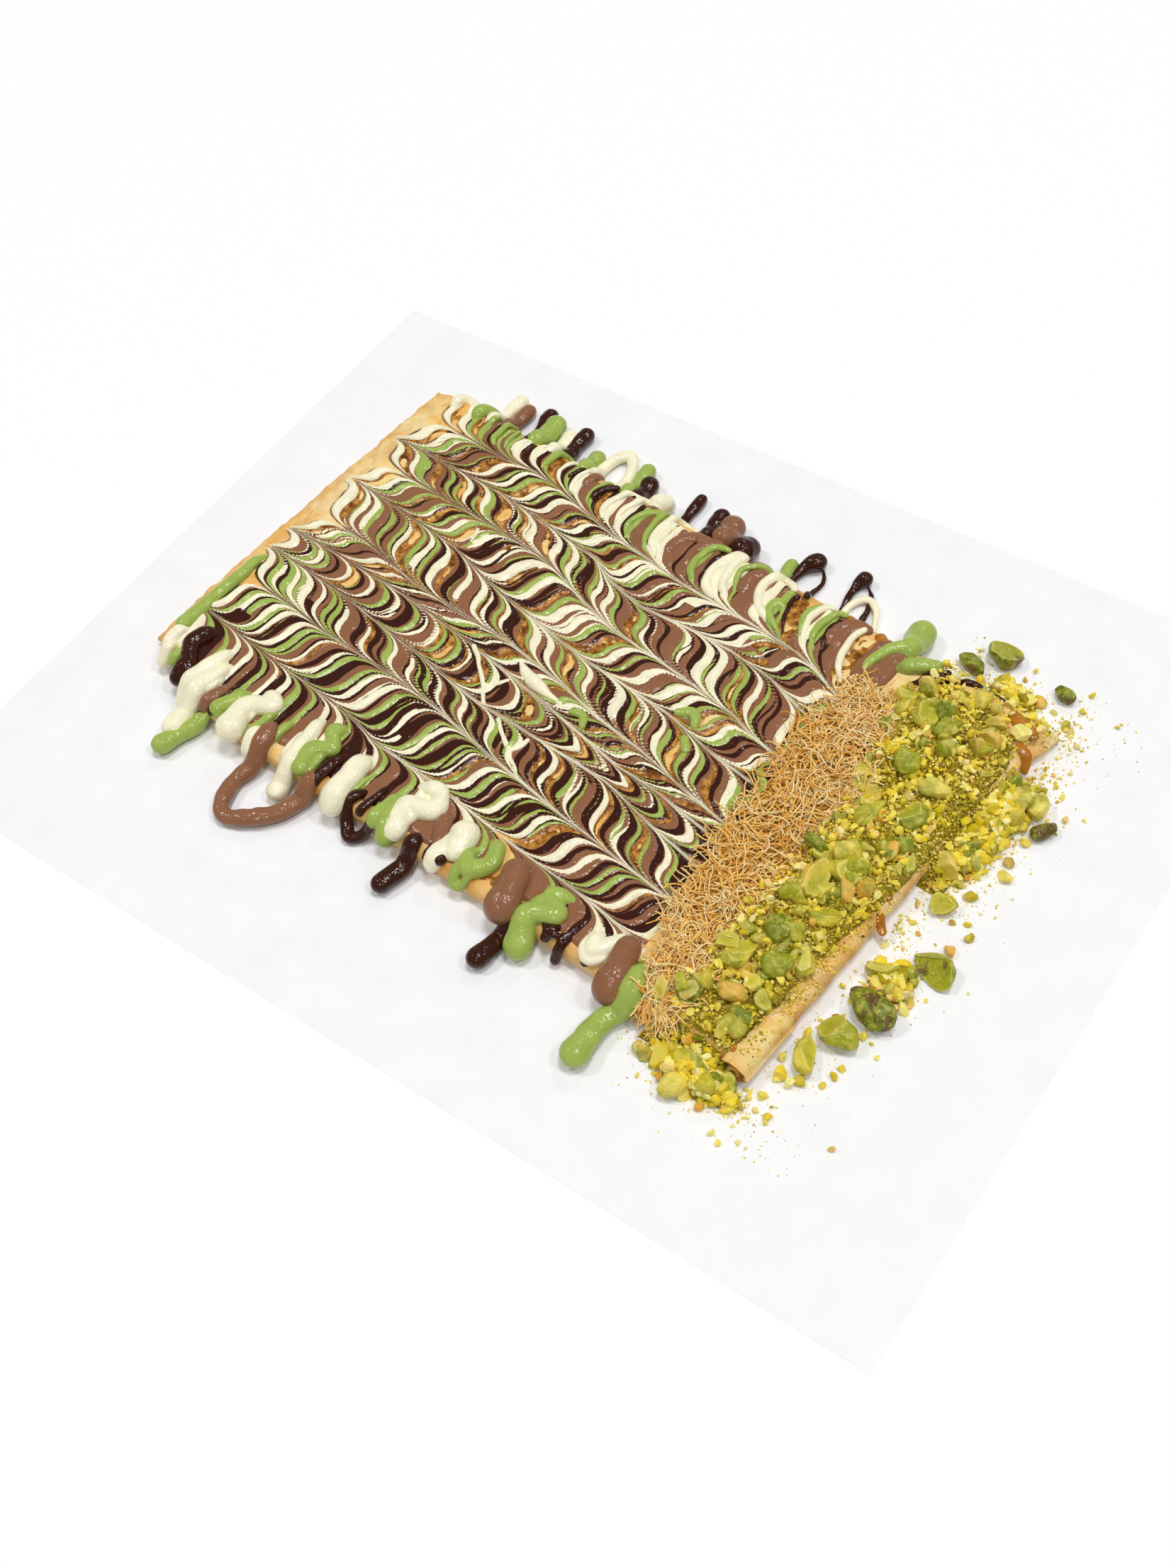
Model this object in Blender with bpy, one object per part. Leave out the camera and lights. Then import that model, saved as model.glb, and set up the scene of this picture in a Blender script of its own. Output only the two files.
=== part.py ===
"""A folded crepe lying on a sheet of baking paper.

The crepe is a wide flat rectangle of folded layers. Four sauces lie across it in
stripes that were combed lengthwise, and run down both long sides as thick drips.
One end carries a band of kataifi threads and a heap of crushed pistachio, which
has also spilled onto the paper. Lengths are metres. The crepe's own axes are u
along its length, towards the pistachio end, v across it, and z up from the paper.
"""
import math
import random

import bmesh
import bpy
from mathutils import Matrix, Vector, noise

MM = 0.001

# Paper sheet, a half-sheet baking liner
PAPER_LENGTH = 406 * MM
PAPER_WIDTH = 300 * MM
PAPER_THICKNESS = 0.4 * MM

# Where the crepe lies on the paper
CREPE_CENTRE = (-16.4 * MM, 6.4 * MM)
CREPE_TURN = math.radians(-5.4)

# Crepe body, in millimetres of its own axes
GAP = 0.3
BODY_TOP = 9.2
THIN_END_TOP = 4.8
THIN_END = (-152.0, -134.0)
LEFT_EDGE = [(-75.0, -148.0), (-33.0, -151.0), (91.0, -152.0)]
RIGHT_EDGE = [(-83.0, 149.6), (48.0, 150.2), (74.0, 153.0), (87.0, 155.0)]
NEAR_EDGE = [(-150.0, -73.0), (-104.0, -87.5), (-80.0, -89.0), (4.0, -87.0), (89.0, -85.0),
             (150.0, -83.0)]
FAR_EDGE = [(-152.0, 91.0), (-60.0, 89.5), (40.0, 87.5), (155.0, 87.0)]
FOLD_INSET = 4.5
FOLD_SHOULDER = 1.3
UNDERCUT = [(1.2, 0.32), (4.0, 0.0)]
FLAP_EDGE = 141.5
FLAP_RISE = 0.8

# Sauce on top: stripes across the crepe, dragged by a comb along its length
SAUCE_FROM = -136.0
SAUCE_TO = 82.0
SAUCE_FADE = 14.0
SAUCE_DEPTH = 0.9
STRIPE_PITCH = 8.6
STRIPE_RELIEF = (0.35, 0.85)
COMB_DRAG = 9.0
COMB_LINES = [
    (-1, [(-135, -54.5), (-60, -57.5), (0, -62), (50, -64), (90, -68)]),
    (1, [(-135, -33), (-60, -35), (0, -41), (50, -46.5), (90, -49)]),
    (-1, [(-135, -16), (-60, -21), (0, -25.5), (50, -26), (90, -33)]),
    (-1, [(-135, -4), (-60, -4.5), (0, -11.5), (40, -17.5), (90, -22)]),
    (1, [(-135, 8), (-80, 3), (-30, 2.5), (20, -5), (60, -10.5), (90, -14.5)]),
    (-1, [(-135, 29.5), (-60, 21), (0, 12.5), (50, 9.5), (90, 5)]),
    (1, [(-135, 43.5), (-50, 42), (0, 29.5), (50, 25), (90, 18)]),
    (-1, [(-135, 57), (-60, 56), (0, 45), (50, 46), (90, 37.5)]),
    (1, [(-135, 73.5), (-60, 72), (-10, 64), (50, 60.5), (90, 51)]),
]

# Drips and thick drizzle, each a rope of points (u, v, radius)
DRIPS = [
    [(-139, -18, 2.4), (-139, -45, 2.8), (-138, -64, 3.6)],
    [(-135, -61, 4.0), (-137, -71, 2.6), (-136, -78, 2.0)],
    [(-124, -57, 4.0), (-128, -69, 3.6), (-120, -79, 3.0), (-118, -85, 2.5)],
    [(-112, -60, 3.0), (-115, -78, 3.4), (-115, -88, 3.5)],
    [(-107, -65, 3.0), (-110, -82, 4.0), (-109, -99, 4.6)],
    [(-100, -84, 3.0), (-104, -96, 3.6), (-107, -107, 4.0)],
    [(-100, -72, 3.0), (-103, -87, 2.6)],
    [(-90, -70, 3.0), (-97, -85, 3.0)],
    [(-84, -72, 4.6), (-86, -88, 6.0)],
    [(-78, -78, 3.2), (-75, -90, 3.4)],
    [(-75, -75, 3.6), (-71, -90, 4.0), (-72, -102, 3.2), (-69, -111, 3.2), (-62, -114, 3.2),
     (-50, -104, 3.6), (-46, -92, 3.6), (-44, -80, 3.0)],
    [(-61, -62, 3.0), (-58, -80, 3.0), (-56, -96, 4.0)],
    [(-50, -65, 4.0), (-51, -85, 4.2)],
    [(-35, -65, 4.0), (-32, -89, 5.2)],
    [(-24, -76, 2.4), (-27, -87, 2.4), (-21, -94, 2.5), (-15, -86, 2.4), (-14, -79, 2.4)],
    [(-7, -71, 6.0), (-6, -86, 4.4)],
    [(3, -78, 3.4), (4, -90, 3.4), (3, -101, 4.0)],
    [(17, -71, 5.6), (16, -84, 3.6)],
    [(27, -71, 3.0), (27, -81, 4.6)],
    [(45, -70, 5.4), (46, -86, 6.2)],
    [(52, -80, 3.0), (51, -90, 3.6), (50, -103, 4.0)],
    [(60, -73, 4.6), (58, -92, 5.4)],
    [(68, -76, 2.2), (65, -85, 2.0)],
    [(73, -78, 2.2), (71, -88, 2.0)],
    [(80, -70, 3.0), (82, -80, 3.6), (88, -72, 3.0)],
    [(92, -70, 5.0), (95, -87, 5.6)],
    [(98, -76, 4.0), (101, -89, 5.0), (100, -110, 5.0)],
    [(-116, 84, 3.0), (-117, 96, 2.8), (-117, 106, 3.4)],
    [(-110, 86, 3.0), (-111, 104, 3.4)],
    [(-97, 86, 2.2), (-101, 107, 3.6)],
    [(-92, 84, 3.6), (-95, 103, 5.0)],
    [(-84, 84, 3.0), (-86, 101, 3.6)],
    [(-79, 86, 2.6), (-82, 106, 4.0)],
    [(-67, 84, 3.0), (-69, 99, 3.6)],
    [(-62, 84, 2.6), (-64, 101, 2.6), (-59, 108, 2.6), (-53, 100, 2.6), (-50, 86, 2.6)],
    [(-44, 84, 3.0), (-48, 105, 3.6)],
    [(-39, 84, 3.0), (-42, 99, 4.0)],
    [(-29, 84, 4.0), (-30, 94, 4.6)],
    [(-19, 86, 2.0), (-21, 106, 2.5)],
    [(-5, 84, 3.0), (-8, 102, 4.0)],
    [(3, 84, 4.0), (0, 99, 5.8)],
    [(11, 84, 4.0), (11, 94, 5.0)],
    [(22, 80, 4.4), (21, 90, 5.0)],
    [(31, 84, 2.6), (29, 98, 3.0)],
    [(47, 84, 2.2), (36, 103, 5.0)],
    [(59, 84, 2.2), (55, 106, 3.6)],
    [(61, 81, 2.6), (64, 98, 2.6), (74, 81, 2.6)],
    [(93, 80, 4.0), (89, 97, 5.4)],
    [(97, 72, 4.0), (104, 79, 3.0), (109, 84, 3.0), (111, 89, 2.8)],
]
ROPE_SIDES = 5
ROPE_FLATNESS = 0.85

# Toppings stand on the crepe's top
HEAP_FLOOR = BODY_TOP + 0.35
KATAIFI_LEFT = [(-82, 107), (-68, 104), (-52, 94), (-25, 88), (0, 86), (40, 83), (60, 86)]
TOPPING_SEAM = [(-82, 112), (-60, 117), (-40, 114), (-20, 116.5), (0, 116.5), (20, 115),
                (40, 110), (60, 101.5), (68, 104), (80, 116)]
KATAIFI_SPAN = (-81.0, 60.0)
KATAIFI_DEPTH = 4.6
THREAD_RADIUS = 0.6
THREADS_ON_TOP = 15
EDGE_UNEVENNESS = 2.4
PISTACHIO_RIGHT = [(-80, 140.5), (-5, 140.5), (8, 145.5), (62, 145.5), (80, 132)]
PISTACHIO_SPAN = (-80.0, 80.0)
PISTACHIO_DEPTH = 4.4
HEAP_RIM = 0.9
CHUNKS_ON_HEAP = 18
CHUNK_SIZE = (3.6, 6.4)

# Pistachio kernels: u, v, length, width, height, turn in degrees
KERNELS_ON_HEAP = [
    (125.5, -16.0, 17, 9.0, 8.0, 95), (133.5, -6.5, 13, 9.5, 8.0, 60), (136.5, -25.5, 11, 9.5, 7.5, 20),
    (127.5, -38.5, 11, 9.5, 7.5, 150), (135.0, -49.5, 11, 9.0, 7.5, 40), (123.0, -53.0, 12, 9.0, 7.5, 70),
    (130.0, -66.0, 11, 7.0, 6.5, 15), (116.0, 61.0, 13, 8.5, 7.5, 115), (107.0, 61.5, 11, 6.5, 6.5, 100),
    (122.0, 40.5, 10, 9.5, 7.5, 30), (137.0, 23.5, 12, 9.5, 7.5, 85), (124.0, 15.5, 14, 7.0, 6.5, 80),
    (136.0, 37.0, 11, 7.5, 6.5, 10),
]
KERNELS_ON_PAPER = [
    (172.0, -15.5, 18, 13.0, 9.0, 155), (165.0, -39.5, 18, 11.0, 9.0, 170), (162.0, -53.5, 15, 11.0, 9.0, 10),
    (158.0, -65.5, 13, 8.0, 8.0, 125), (118.0, 108.0, 14, 11.5, 8.5, 165), (111.0, 97.5, 12, 6.5, 6.0, 170),
    (161.0, 6.5, 9, 8.0, 7.0, 30), (159.5, 46.0, 10, 8.5, 7.5, 50), (164.0, 58.0, 11, 7.0, 7.0, 105),
    (130.0, -90.5, 11, 7.0, 7.0, 10), (144.5, -89.5, 10, 7.5, 7.0, 120), (131.5, -99.5, 10, 8.5, 7.5, 30),
    (145.0, 105.0, 9, 5.0, 4.5, 165), (171.0, 51.0, 10, 5.5, 5.0, 60),
]
KERNEL_LIFT = 1.8
KERNEL_CLEARANCE = 0.4

# Spilled heaps on the paper: name, centre, half sizes, turn, height, chunks
SPILLS = [
    ("end", (157.0, 41.0), (5.6, 23.0), 0, 4.4, 6),
    ("near_end", (164.0, -28.0), (7.0, 6.0), 0, 3.6, 4),
    ("near_side", (134.0, -92.5), (16.0, 5.6), 2, 4.2, 4),
    ("far_side", (130.0, 94.5), (9.0, 4.6), 0, 3.6, 4),
]

CRUST = ((0.80, 0.50, 0.20), 0.5)
PAPER_WHITE = ((0.90, 0.90, 0.89), 0.7)
THREAD_GOLD = ((0.76, 0.50, 0.22), 0.6)
NUT_GREEN = ((0.42, 0.45, 0.08), 0.6)
KERNEL_GREEN = ((0.30, 0.38, 0.06), 0.45)


def clear_scene():
    for thing in list(bpy.data.objects):
        bpy.data.objects.remove(thing, do_unlink=True)


def make_material(name, finish):
    colour, roughness = finish
    material = bpy.data.materials.new(name)
    material.use_nodes = True
    shader = material.node_tree.nodes["Principled BSDF"]
    shader.inputs["Base Color"].default_value = (*colour, 1.0)
    shader.inputs["Roughness"].default_value = roughness
    shader.inputs["Metallic"].default_value = 0.0
    return material


def make_object(name, mesh_data, material=None):
    """Turns a bmesh in millimetres into an object in metres."""
    bmesh.ops.scale(mesh_data, vec=(MM, MM, MM), verts=mesh_data.verts)
    mesh = bpy.data.meshes.new(name)
    mesh_data.to_mesh(mesh)
    mesh_data.free()
    thing = bpy.data.objects.new(name, mesh)
    bpy.context.scene.collection.objects.link(thing)
    if material:
        mesh.materials.append(material)
    return thing


def smooth(t):
    t = min(max(t, 0.0), 1.0)
    return t * t * (3.0 - 2.0 * t)


def follow(points, x):
    """The value at x of a smooth curve through points of (x, value)."""
    last = len(points) - 1
    if x <= points[0][0]:
        return points[0][1]
    if x >= points[last][0]:
        return points[last][1]
    k = max(i for i in range(last) if points[i][0] <= x)
    (x1, y1), (x2, y2) = points[k], points[k + 1]
    x0, y0 = points[max(k - 1, 0)]
    x3, y3 = points[min(k + 2, last)]
    t = (x - x1) / (x2 - x1)
    slope1 = (y2 - y0) / (x2 - x0) * (x2 - x1)
    slope2 = (y3 - y1) / (x3 - x1) * (x2 - x1)
    a = 2 * t ** 3 - 3 * t ** 2 + 1
    b = t ** 3 - 2 * t ** 2 + t
    c = -2 * t ** 3 + 3 * t ** 2
    d = t ** 3 - t ** 2
    return a * y1 + b * slope1 + c * y2 + d * slope2


def straight(points, x):
    """The value at x of straight runs between points of (x, value)."""
    if x <= points[0][0]:
        return points[0][1]
    for (x1, y1), (x2, y2) in zip(points, points[1:]):
        if x <= x2:
            return y1 + (y2 - y1) * (x - x1) / (x2 - x1)
    return points[-1][1]


def keep_largest_piece(mesh_data):
    """Drops the loose scraps a cut can leave, and fills the tiny hollows a joint can seal."""
    bmesh.ops.triangulate(mesh_data, faces=mesh_data.faces)
    unseen = set(mesh_data.faces)
    pieces = []
    while unseen:
        piece = [unseen.pop()]
        for face in piece:
            for edge in face.edges:
                for other in edge.link_faces:
                    if other in unseen:
                        unseen.remove(other)
                        piece.append(other)
        pieces.append(piece)
    pieces.sort(key=len)
    for scrap in pieces[:-1]:
        bmesh.ops.delete(mesh_data, geom=scrap, context="FACES")


def combine(body, pieces, operation):
    """Joins the pieces to the body, or cuts them out of it, in one Boolean."""
    group = bpy.data.collections.new(body.name + "_" + operation.lower())
    bpy.context.scene.collection.children.link(group)
    for piece in pieces:
        bpy.context.scene.collection.objects.unlink(piece)
        group.objects.link(piece)
    boolean = body.modifiers.new("combine", "BOOLEAN")
    boolean.operation = operation
    boolean.operand_type = "COLLECTION"
    boolean.collection = group
    boolean.solver = "MANIFOLD"
    view = bpy.context.evaluated_depsgraph_get()
    joined = bpy.data.meshes.new_from_object(body.evaluated_get(view))
    body.modifiers.remove(boolean)
    old = body.data
    body.data = joined
    bpy.data.meshes.remove(old)
    for piece in pieces:
        bpy.data.objects.remove(piece, do_unlink=True)
    bpy.data.collections.remove(group)
    mesh_data = bmesh.new()
    mesh_data.from_mesh(joined)
    keep_largest_piece(mesh_data)
    mesh_data.to_mesh(joined)
    mesh_data.free()


# Outline and height of the crepe

def body_top(u):
    """The crepe's height without sauce: it thins out towards the left end."""
    rise = smooth((u - THIN_END[0]) / (THIN_END[1] - THIN_END[0]))
    return THIN_END_TOP + (BODY_TOP - THIN_END_TOP) * rise


def outside_edge(u, v):
    """How far a point lies outside the nearer long side, negative inside."""
    return max(straight(NEAR_EDGE, u) - v, v - straight(FAR_EDGE, u))


def drape_height(u, v, radius):
    """Height of the middle of a rope that lies over the crepe and down its side."""
    on_top = body_top(u) + SAUCE_DEPTH + 0.2 * radius
    on_paper = GAP + 0.1 + ROPE_FLATNESS * radius
    fall = smooth((outside_edge(u, v) + 3.5) / (radius + 6.0))
    return on_top + (on_paper - on_top) * fall


def stripe_columns():
    """Places along u of the stripes' valleys and crests, with each one's height."""
    draw = random.Random(4)
    columns = []
    u = SAUCE_FROM
    while u < SAUCE_TO:
        pitch = STRIPE_PITCH * draw.uniform(0.75, 1.25)
        columns.append((u, -0.2))
        columns.append((u + 0.5 * pitch, draw.uniform(*STRIPE_RELIEF)))
        u += pitch
    columns.append((SAUCE_TO + 1.0, 0.0))
    return columns


def crepe_columns():
    """All columns of the top as (u, share of full height, stripe height or None)."""
    left = [(-152.0, 0.5), (-150.7, 0.84), (-147.5, 1.0), (-142.0, 1.0)]
    right = [(86.0, 1.0), (98.0, 1.0), (112.0, 1.0), (127.0, 1.0), (FLAP_EDGE - 0.8, 1.0), (FLAP_EDGE, 1.0),
             (145.5, 1.0), (148.7, 0.84), (150.0, 0.5)]
    columns = [(u, share, None) for u, share in left]
    columns += [(u, 1.0, relief) for u, relief in stripe_columns()]
    columns += [(u, share, None) for u, share in right]
    return columns


def crepe_rows():
    """All rows as (function of u giving v, share of full height, drag, stripe share)."""
    def near(u):
        return straight(NEAR_EDGE, u)

    def far(u):
        return straight(FAR_EDGE, u)

    lines = [(lambda u, path=path: follow(path, u), drag) for drag, path in COMB_LINES]
    rows = [
        (near, 0.5, 0.0, 0.0),
        (lambda u: near(u) + FOLD_SHOULDER, 0.84, 0.0, 0.5),
        (lambda u: near(u) + FOLD_INSET, 1.0, 0.0, 1.0),
    ]
    first, first_drag = lines[0]
    rows.append((lambda u: 0.3 * near(u) + 0.7 * first(u), 1.0, 0.3 * first_drag, 1.0))
    for (line, drag), (after, after_drag) in zip(lines, lines[1:]):
        rows.append((line, 1.0, drag, 0.25))
        rows.append((lambda u, a=line, b=after: 0.75 * a(u) + 0.25 * b(u), 1.0, 0.25 * drag, 1.0))
        rows.append((lambda u, a=line, b=after: 0.25 * a(u) + 0.75 * b(u), 1.0, 0.25 * after_drag, 1.0))
    final, final_drag = lines[-1]
    rows.append((final, 1.0, final_drag, 0.25))
    rows.append((lambda u: 0.3 * far(u) + 0.7 * final(u), 1.0, 0.3 * final_drag, 1.0))
    rows += [
        (lambda u: far(u) - FOLD_INSET, 1.0, 0.0, 1.0),
        (lambda u: far(u) - FOLD_SHOULDER, 0.84, 0.0, 0.5),
        (far, 0.5, 0.0, 0.0),
    ]
    return rows


def crepe_point(column, row):
    """One point of the crepe's top."""
    u0, share_u, relief = column
    path, share_v, drag, stripe_share = row
    v = path(u0)
    ends = smooth((u0 - SAUCE_FROM + 2.0) / SAUCE_FADE) * smooth((SAUCE_TO + 2.0 - u0) / SAUCE_FADE)
    u = u0 + COMB_DRAG * drag * ends
    left_weight = 1.0 - smooth((u0 + 150.0) / 60.0)
    right_weight = smooth((u0 - 110.0) / 40.0)
    u += left_weight * (straight(LEFT_EDGE, v) + 152.0)
    u += right_weight * (straight(RIGHT_EDGE, v) - 150.0)
    height = body_top(u0)
    if relief is not None:
        height += (SAUCE_DEPTH + relief * stripe_share) * ends
    if u0 >= FLAP_EDGE and v < 0.0:
        height += FLAP_RISE * smooth(-v / 6.0)
    return Vector((u, v, height * min(share_u, share_v)))


def build_crepe(material):
    columns = crepe_columns()
    rows = crepe_rows()
    mesh_data = bmesh.new()
    grid = [[mesh_data.verts.new(crepe_point(column, row)) for row in rows] for column in columns]
    for a, b in zip(grid, grid[1:]):
        for j in range(len(rows) - 1):
            mesh_data.faces.new((a[j], b[j], b[j + 1], a[j + 1]))
    rim = [line[0] for line in grid]
    rim += grid[-1][1:]
    rim += [line[-1] for line in reversed(grid[:-1])]
    rim += list(reversed(grid[0][1:-1]))
    top_rim = [vert.co.copy() for vert in rim]
    for inset, share in UNDERCUT:
        lower = []
        for place in top_rim:
            near_end = min(max((abs(place.x) - 142.0) / 8.0, 0.0), 1.0)
            near_side = min(max((outside_edge(place.x, place.y) + 6.0) / 6.0, 0.0), 1.0)
            inward = Vector((-math.copysign(near_end, place.x), -math.copysign(near_side, place.y), 0.0))
            low = place + inward * inset
            low.z = max(share * place.z, GAP)
            lower.append(mesh_data.verts.new(low))
        for k, vert in enumerate(rim):
            after = (k + 1) % len(rim)
            mesh_data.faces.new((vert, lower[k], lower[after], rim[after]))
        rim = lower
    mesh_data.faces.new(list(reversed(rim)))
    crepe = make_object("crepe", mesh_data, material)
    drips = [build_rope(f"drip_{k}", drip) for k, drip in enumerate(DRIPS)]
    combine(crepe, drips, "UNION")
    return crepe


def rope_mesh(points, sides, flatness):
    """A closed tube through (place, radius) points, with a rounded point at each end."""
    mesh_data = bmesh.new()
    rings = []
    last = len(points) - 1
    for k, (place, radius) in enumerate(points):
        along = (points[min(k + 1, last)][0] - points[max(k - 1, 0)][0]).normalized()
        side = along.cross(Vector((0.0, 0.0, 1.0))).normalized()
        up = side.cross(along)
        ring = []
        for step in range(sides):
            angle = math.tau * (step + 0.5) / sides
            offset = side * math.cos(angle) + up * math.sin(angle) * flatness
            ring.append(mesh_data.verts.new(place + offset * radius))
        rings.append(ring)
    for a, b in zip(rings, rings[1:]):
        for step in range(sides):
            after = (step + 1) % sides
            mesh_data.faces.new((a[step], a[after], b[after], b[step]))
    for ring, k, other in ((rings[0], 0, 1), (rings[-1], last, last - 1)):
        place, radius = points[k]
        out = (place - points[other][0]).normalized()
        out.z = 0.0
        tip = mesh_data.verts.new(place + out * radius * 0.7)
        for step in range(sides):
            mesh_data.faces.new((ring[step], ring[(step + 1) % sides], tip))
    bmesh.ops.recalc_face_normals(mesh_data, faces=mesh_data.faces)
    return mesh_data


def build_rope(name, drip):
    points = []
    for (u1, v1, r1), (u2, v2, r2) in zip(drip, drip[1:]):
        points.append((u1, v1, r1))
        if outside_edge(u2, v2) > 0.0 and outside_edge(u1, v1) < 0.0:
            points.append((0.5 * (u1 + u2), 0.5 * (v1 + v2), 0.5 * (r1 + r2)))
    points.append(drip[-1])
    placed = [(Vector((u, v, drape_height(u, v, r))), r) for u, v, r in points]
    return make_object(name, rope_mesh(placed, ROPE_SIDES, ROPE_FLATNESS))


# Toppings

def uneven(path, side, seed):
    """A heap's edge that wanders inwards from a path u(v) by up to the unevenness."""
    def edge(v):
        wander = abs(noise.noise(Vector((0.11 * v, seed, 0.0)))) * 2.0
        return path(v) + side * EDGE_UNEVENNESS * min(wander, 1.0)
    return edge


def heap_sheet(lower, upper, span, across, steps, depth, seed):
    """A low heap between two edges u(v), flat below and bumpy on top."""
    mesh_data = bmesh.new()
    grid = []
    for j in range(steps + 1):
        v = span[0] + (span[1] - span[0]) * j / steps
        line = []
        for i in range(across + 1):
            share = i / across
            u = lower(v) + (upper(v) - lower(v)) * share
            rim = i in (0, across) or j in (0, steps)
            bump = noise.noise(Vector((0.13 * u, 0.13 * v, seed)))
            height = HEAP_RIM if rim else depth * (1.0 + 0.45 * bump)
            line.append(mesh_data.verts.new((u, v, HEAP_FLOOR + height)))
        grid.append(line)
    for a, b in zip(grid, grid[1:]):
        for i in range(across):
            mesh_data.faces.new((a[i], a[i + 1], b[i + 1], b[i]))
    rim = grid[0] + [line[-1] for line in grid[1:]]
    rim += list(reversed(grid[-1][:-1])) + [line[0] for line in reversed(grid[1:-1])]
    foot = [mesh_data.verts.new((vert.co.x, vert.co.y, HEAP_FLOOR)) for vert in rim]
    for k, vert in enumerate(rim):
        after = (k + 1) % len(rim)
        mesh_data.faces.new((vert, foot[k], foot[after], rim[after]))
    mesh_data.faces.new(list(reversed(foot)))
    return mesh_data


def thread(name, points):
    placed = [(Vector(point), THREAD_RADIUS) for point in points]
    return make_object(name, rope_mesh(placed, 4, 1.0))


def build_kataifi(material):
    def right(v):
        return follow(TOPPING_SEAM, v) - 0.5 * GAP

    left = uneven(lambda v: follow(KATAIFI_LEFT, v), 1.0, 3.0)
    core = heap_sheet(left, right, KATAIFI_SPAN, 4, 20, KATAIFI_DEPTH, 1.0)
    kataifi = make_object("kataifi", core, material)
    draw = random.Random(11)
    threads = []
    top = HEAP_FLOOR + KATAIFI_DEPTH
    for k in range(THREADS_ON_TOP):
        share = (k + draw.random()) / THREADS_ON_TOP
        v = KATAIFI_SPAN[0] + 8.0 + (KATAIFI_SPAN[1] - KATAIFI_SPAN[0] - 16.0) * share
        heading = draw.uniform(0.0, math.tau)
        reach = draw.uniform(6.0, 9.0)
        u = 0.5 * (left(v) + right(v))
        if right(v) - left(v) > 20.0:
            u = draw.uniform(left(v) + 9.0, right(v) - 10.0)
        bend = draw.uniform(-3.0, 3.0)
        points = []
        for t, lift in ((-1.0, -0.8), (-0.4, 2.2), (0.4, 2.2), (1.0, -0.8)):
            du = math.cos(heading) * reach * t - math.sin(heading) * bend * (1.0 - t * t)
            dv = math.sin(heading) * reach * t + math.cos(heading) * bend * (1.0 - t * t)
            at_v = min(max(v + dv, KATAIFI_SPAN[0] + 2.0), KATAIFI_SPAN[1] - 2.0)
            at_u = min(u + du, right(at_v) - 1.5)
            points.append((at_u, at_v, top + lift))
        threads.append(thread(f"thread_{k}", points))
    for k in range(6):
        v = KATAIFI_SPAN[0] + 22.0 + 21.0 * k
        u = left(v)
        slant = draw.uniform(-5.0, 5.0)
        threads.append(thread(f"stray_{k}", [(u + 6.0, v, top - 0.6), (u + 1.0, v + 0.4 * slant, top + 1.2),
                                             (u - 4.5, v + slant, top + 0.2)]))
    for k in range(3):
        u = 110.0 + 2.6 * k
        slant = draw.uniform(-2.0, 2.0)
        threads.append(thread(f"hanging_{k}", [(u, -76.0, top - 1.0), (u + 0.4, -83.0, top + 0.6),
                                               (u + slant, -89.5, top - 3.0), (u + slant, -94.0, 4.0)]))
    combine(kataifi, threads, "UNION")
    return kataifi


def kernel_mesh(length, width, height, grow=0.0):
    """A pistachio kernel: an egg with one narrower end and a flatter belly."""
    mesh_data = bmesh.new()
    half = 0.5 * length + grow
    rings = []
    for t in (-0.8, -0.3, 0.35, 0.82):
        swell = math.sqrt(1.0 - t * t) * (1.0 - 0.18 * t)
        ring = []
        for step in range(6):
            angle = math.tau * step / 6
            z = math.sin(angle) * (0.5 * height + grow) * swell
            y = math.cos(angle) * (0.5 * width + grow) * swell
            ring.append(mesh_data.verts.new((t * half, y, z if z > 0.0 else 0.85 * z)))
        rings.append(ring)
    for a, b in zip(rings, rings[1:]):
        for step in range(6):
            after = (step + 1) % 6
            mesh_data.faces.new((a[step], a[after], b[after], b[step]))
    for ring, end in ((rings[0], -half), (rings[-1], half)):
        tip = mesh_data.verts.new((end, 0.0, 0.0))
        for step in range(6):
            mesh_data.faces.new((ring[step], ring[(step + 1) % 6], tip))
    bmesh.ops.recalc_face_normals(mesh_data, faces=mesh_data.faces)
    return mesh_data


def kernel_places():
    """Each kernel as (size, place of its middle, turn)."""
    places = []
    for u, v, length, width, height, turn in KERNELS_ON_HEAP:
        middle = HEAP_FLOOR + KERNEL_LIFT + 0.425 * height
        places.append(((length, width, height), Vector((u, v, middle)), math.radians(turn)))
    for u, v, length, width, height, turn in KERNELS_ON_PAPER:
        middle = GAP + 0.2 + 0.425 * height
        places.append(((length, width, height), Vector((u, v, middle)), math.radians(turn)))
    return places


def build_kernels(material):
    kernels = []
    for number, (size, place, turn) in enumerate(kernel_places(), 1):
        kernel = make_object(f"pistachio_kernel_{number:02d}", kernel_mesh(*size), material)
        kernel.location = place * MM
        kernel.rotation_euler = (0.0, 0.0, turn)
        kernels.append(kernel)
    return kernels


def cut_kernel_beds(heap, reach):
    """Cuts out of a heap the bed of each kernel that lies within reach of it."""
    beds = []
    for number, (size, place, turn) in enumerate(kernel_places()):
        if not reach(place):
            continue
        bed = kernel_mesh(*size, grow=KERNEL_CLEARANCE)
        bmesh.ops.transform(bed, matrix=Matrix.Translation(place) @ Matrix.Rotation(turn, 4, "Z"),
                            verts=bed.verts)
        beds.append(make_object(f"bed_{number}", bed))
    if beds:
        combine(heap, beds, "DIFFERENCE")


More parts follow.
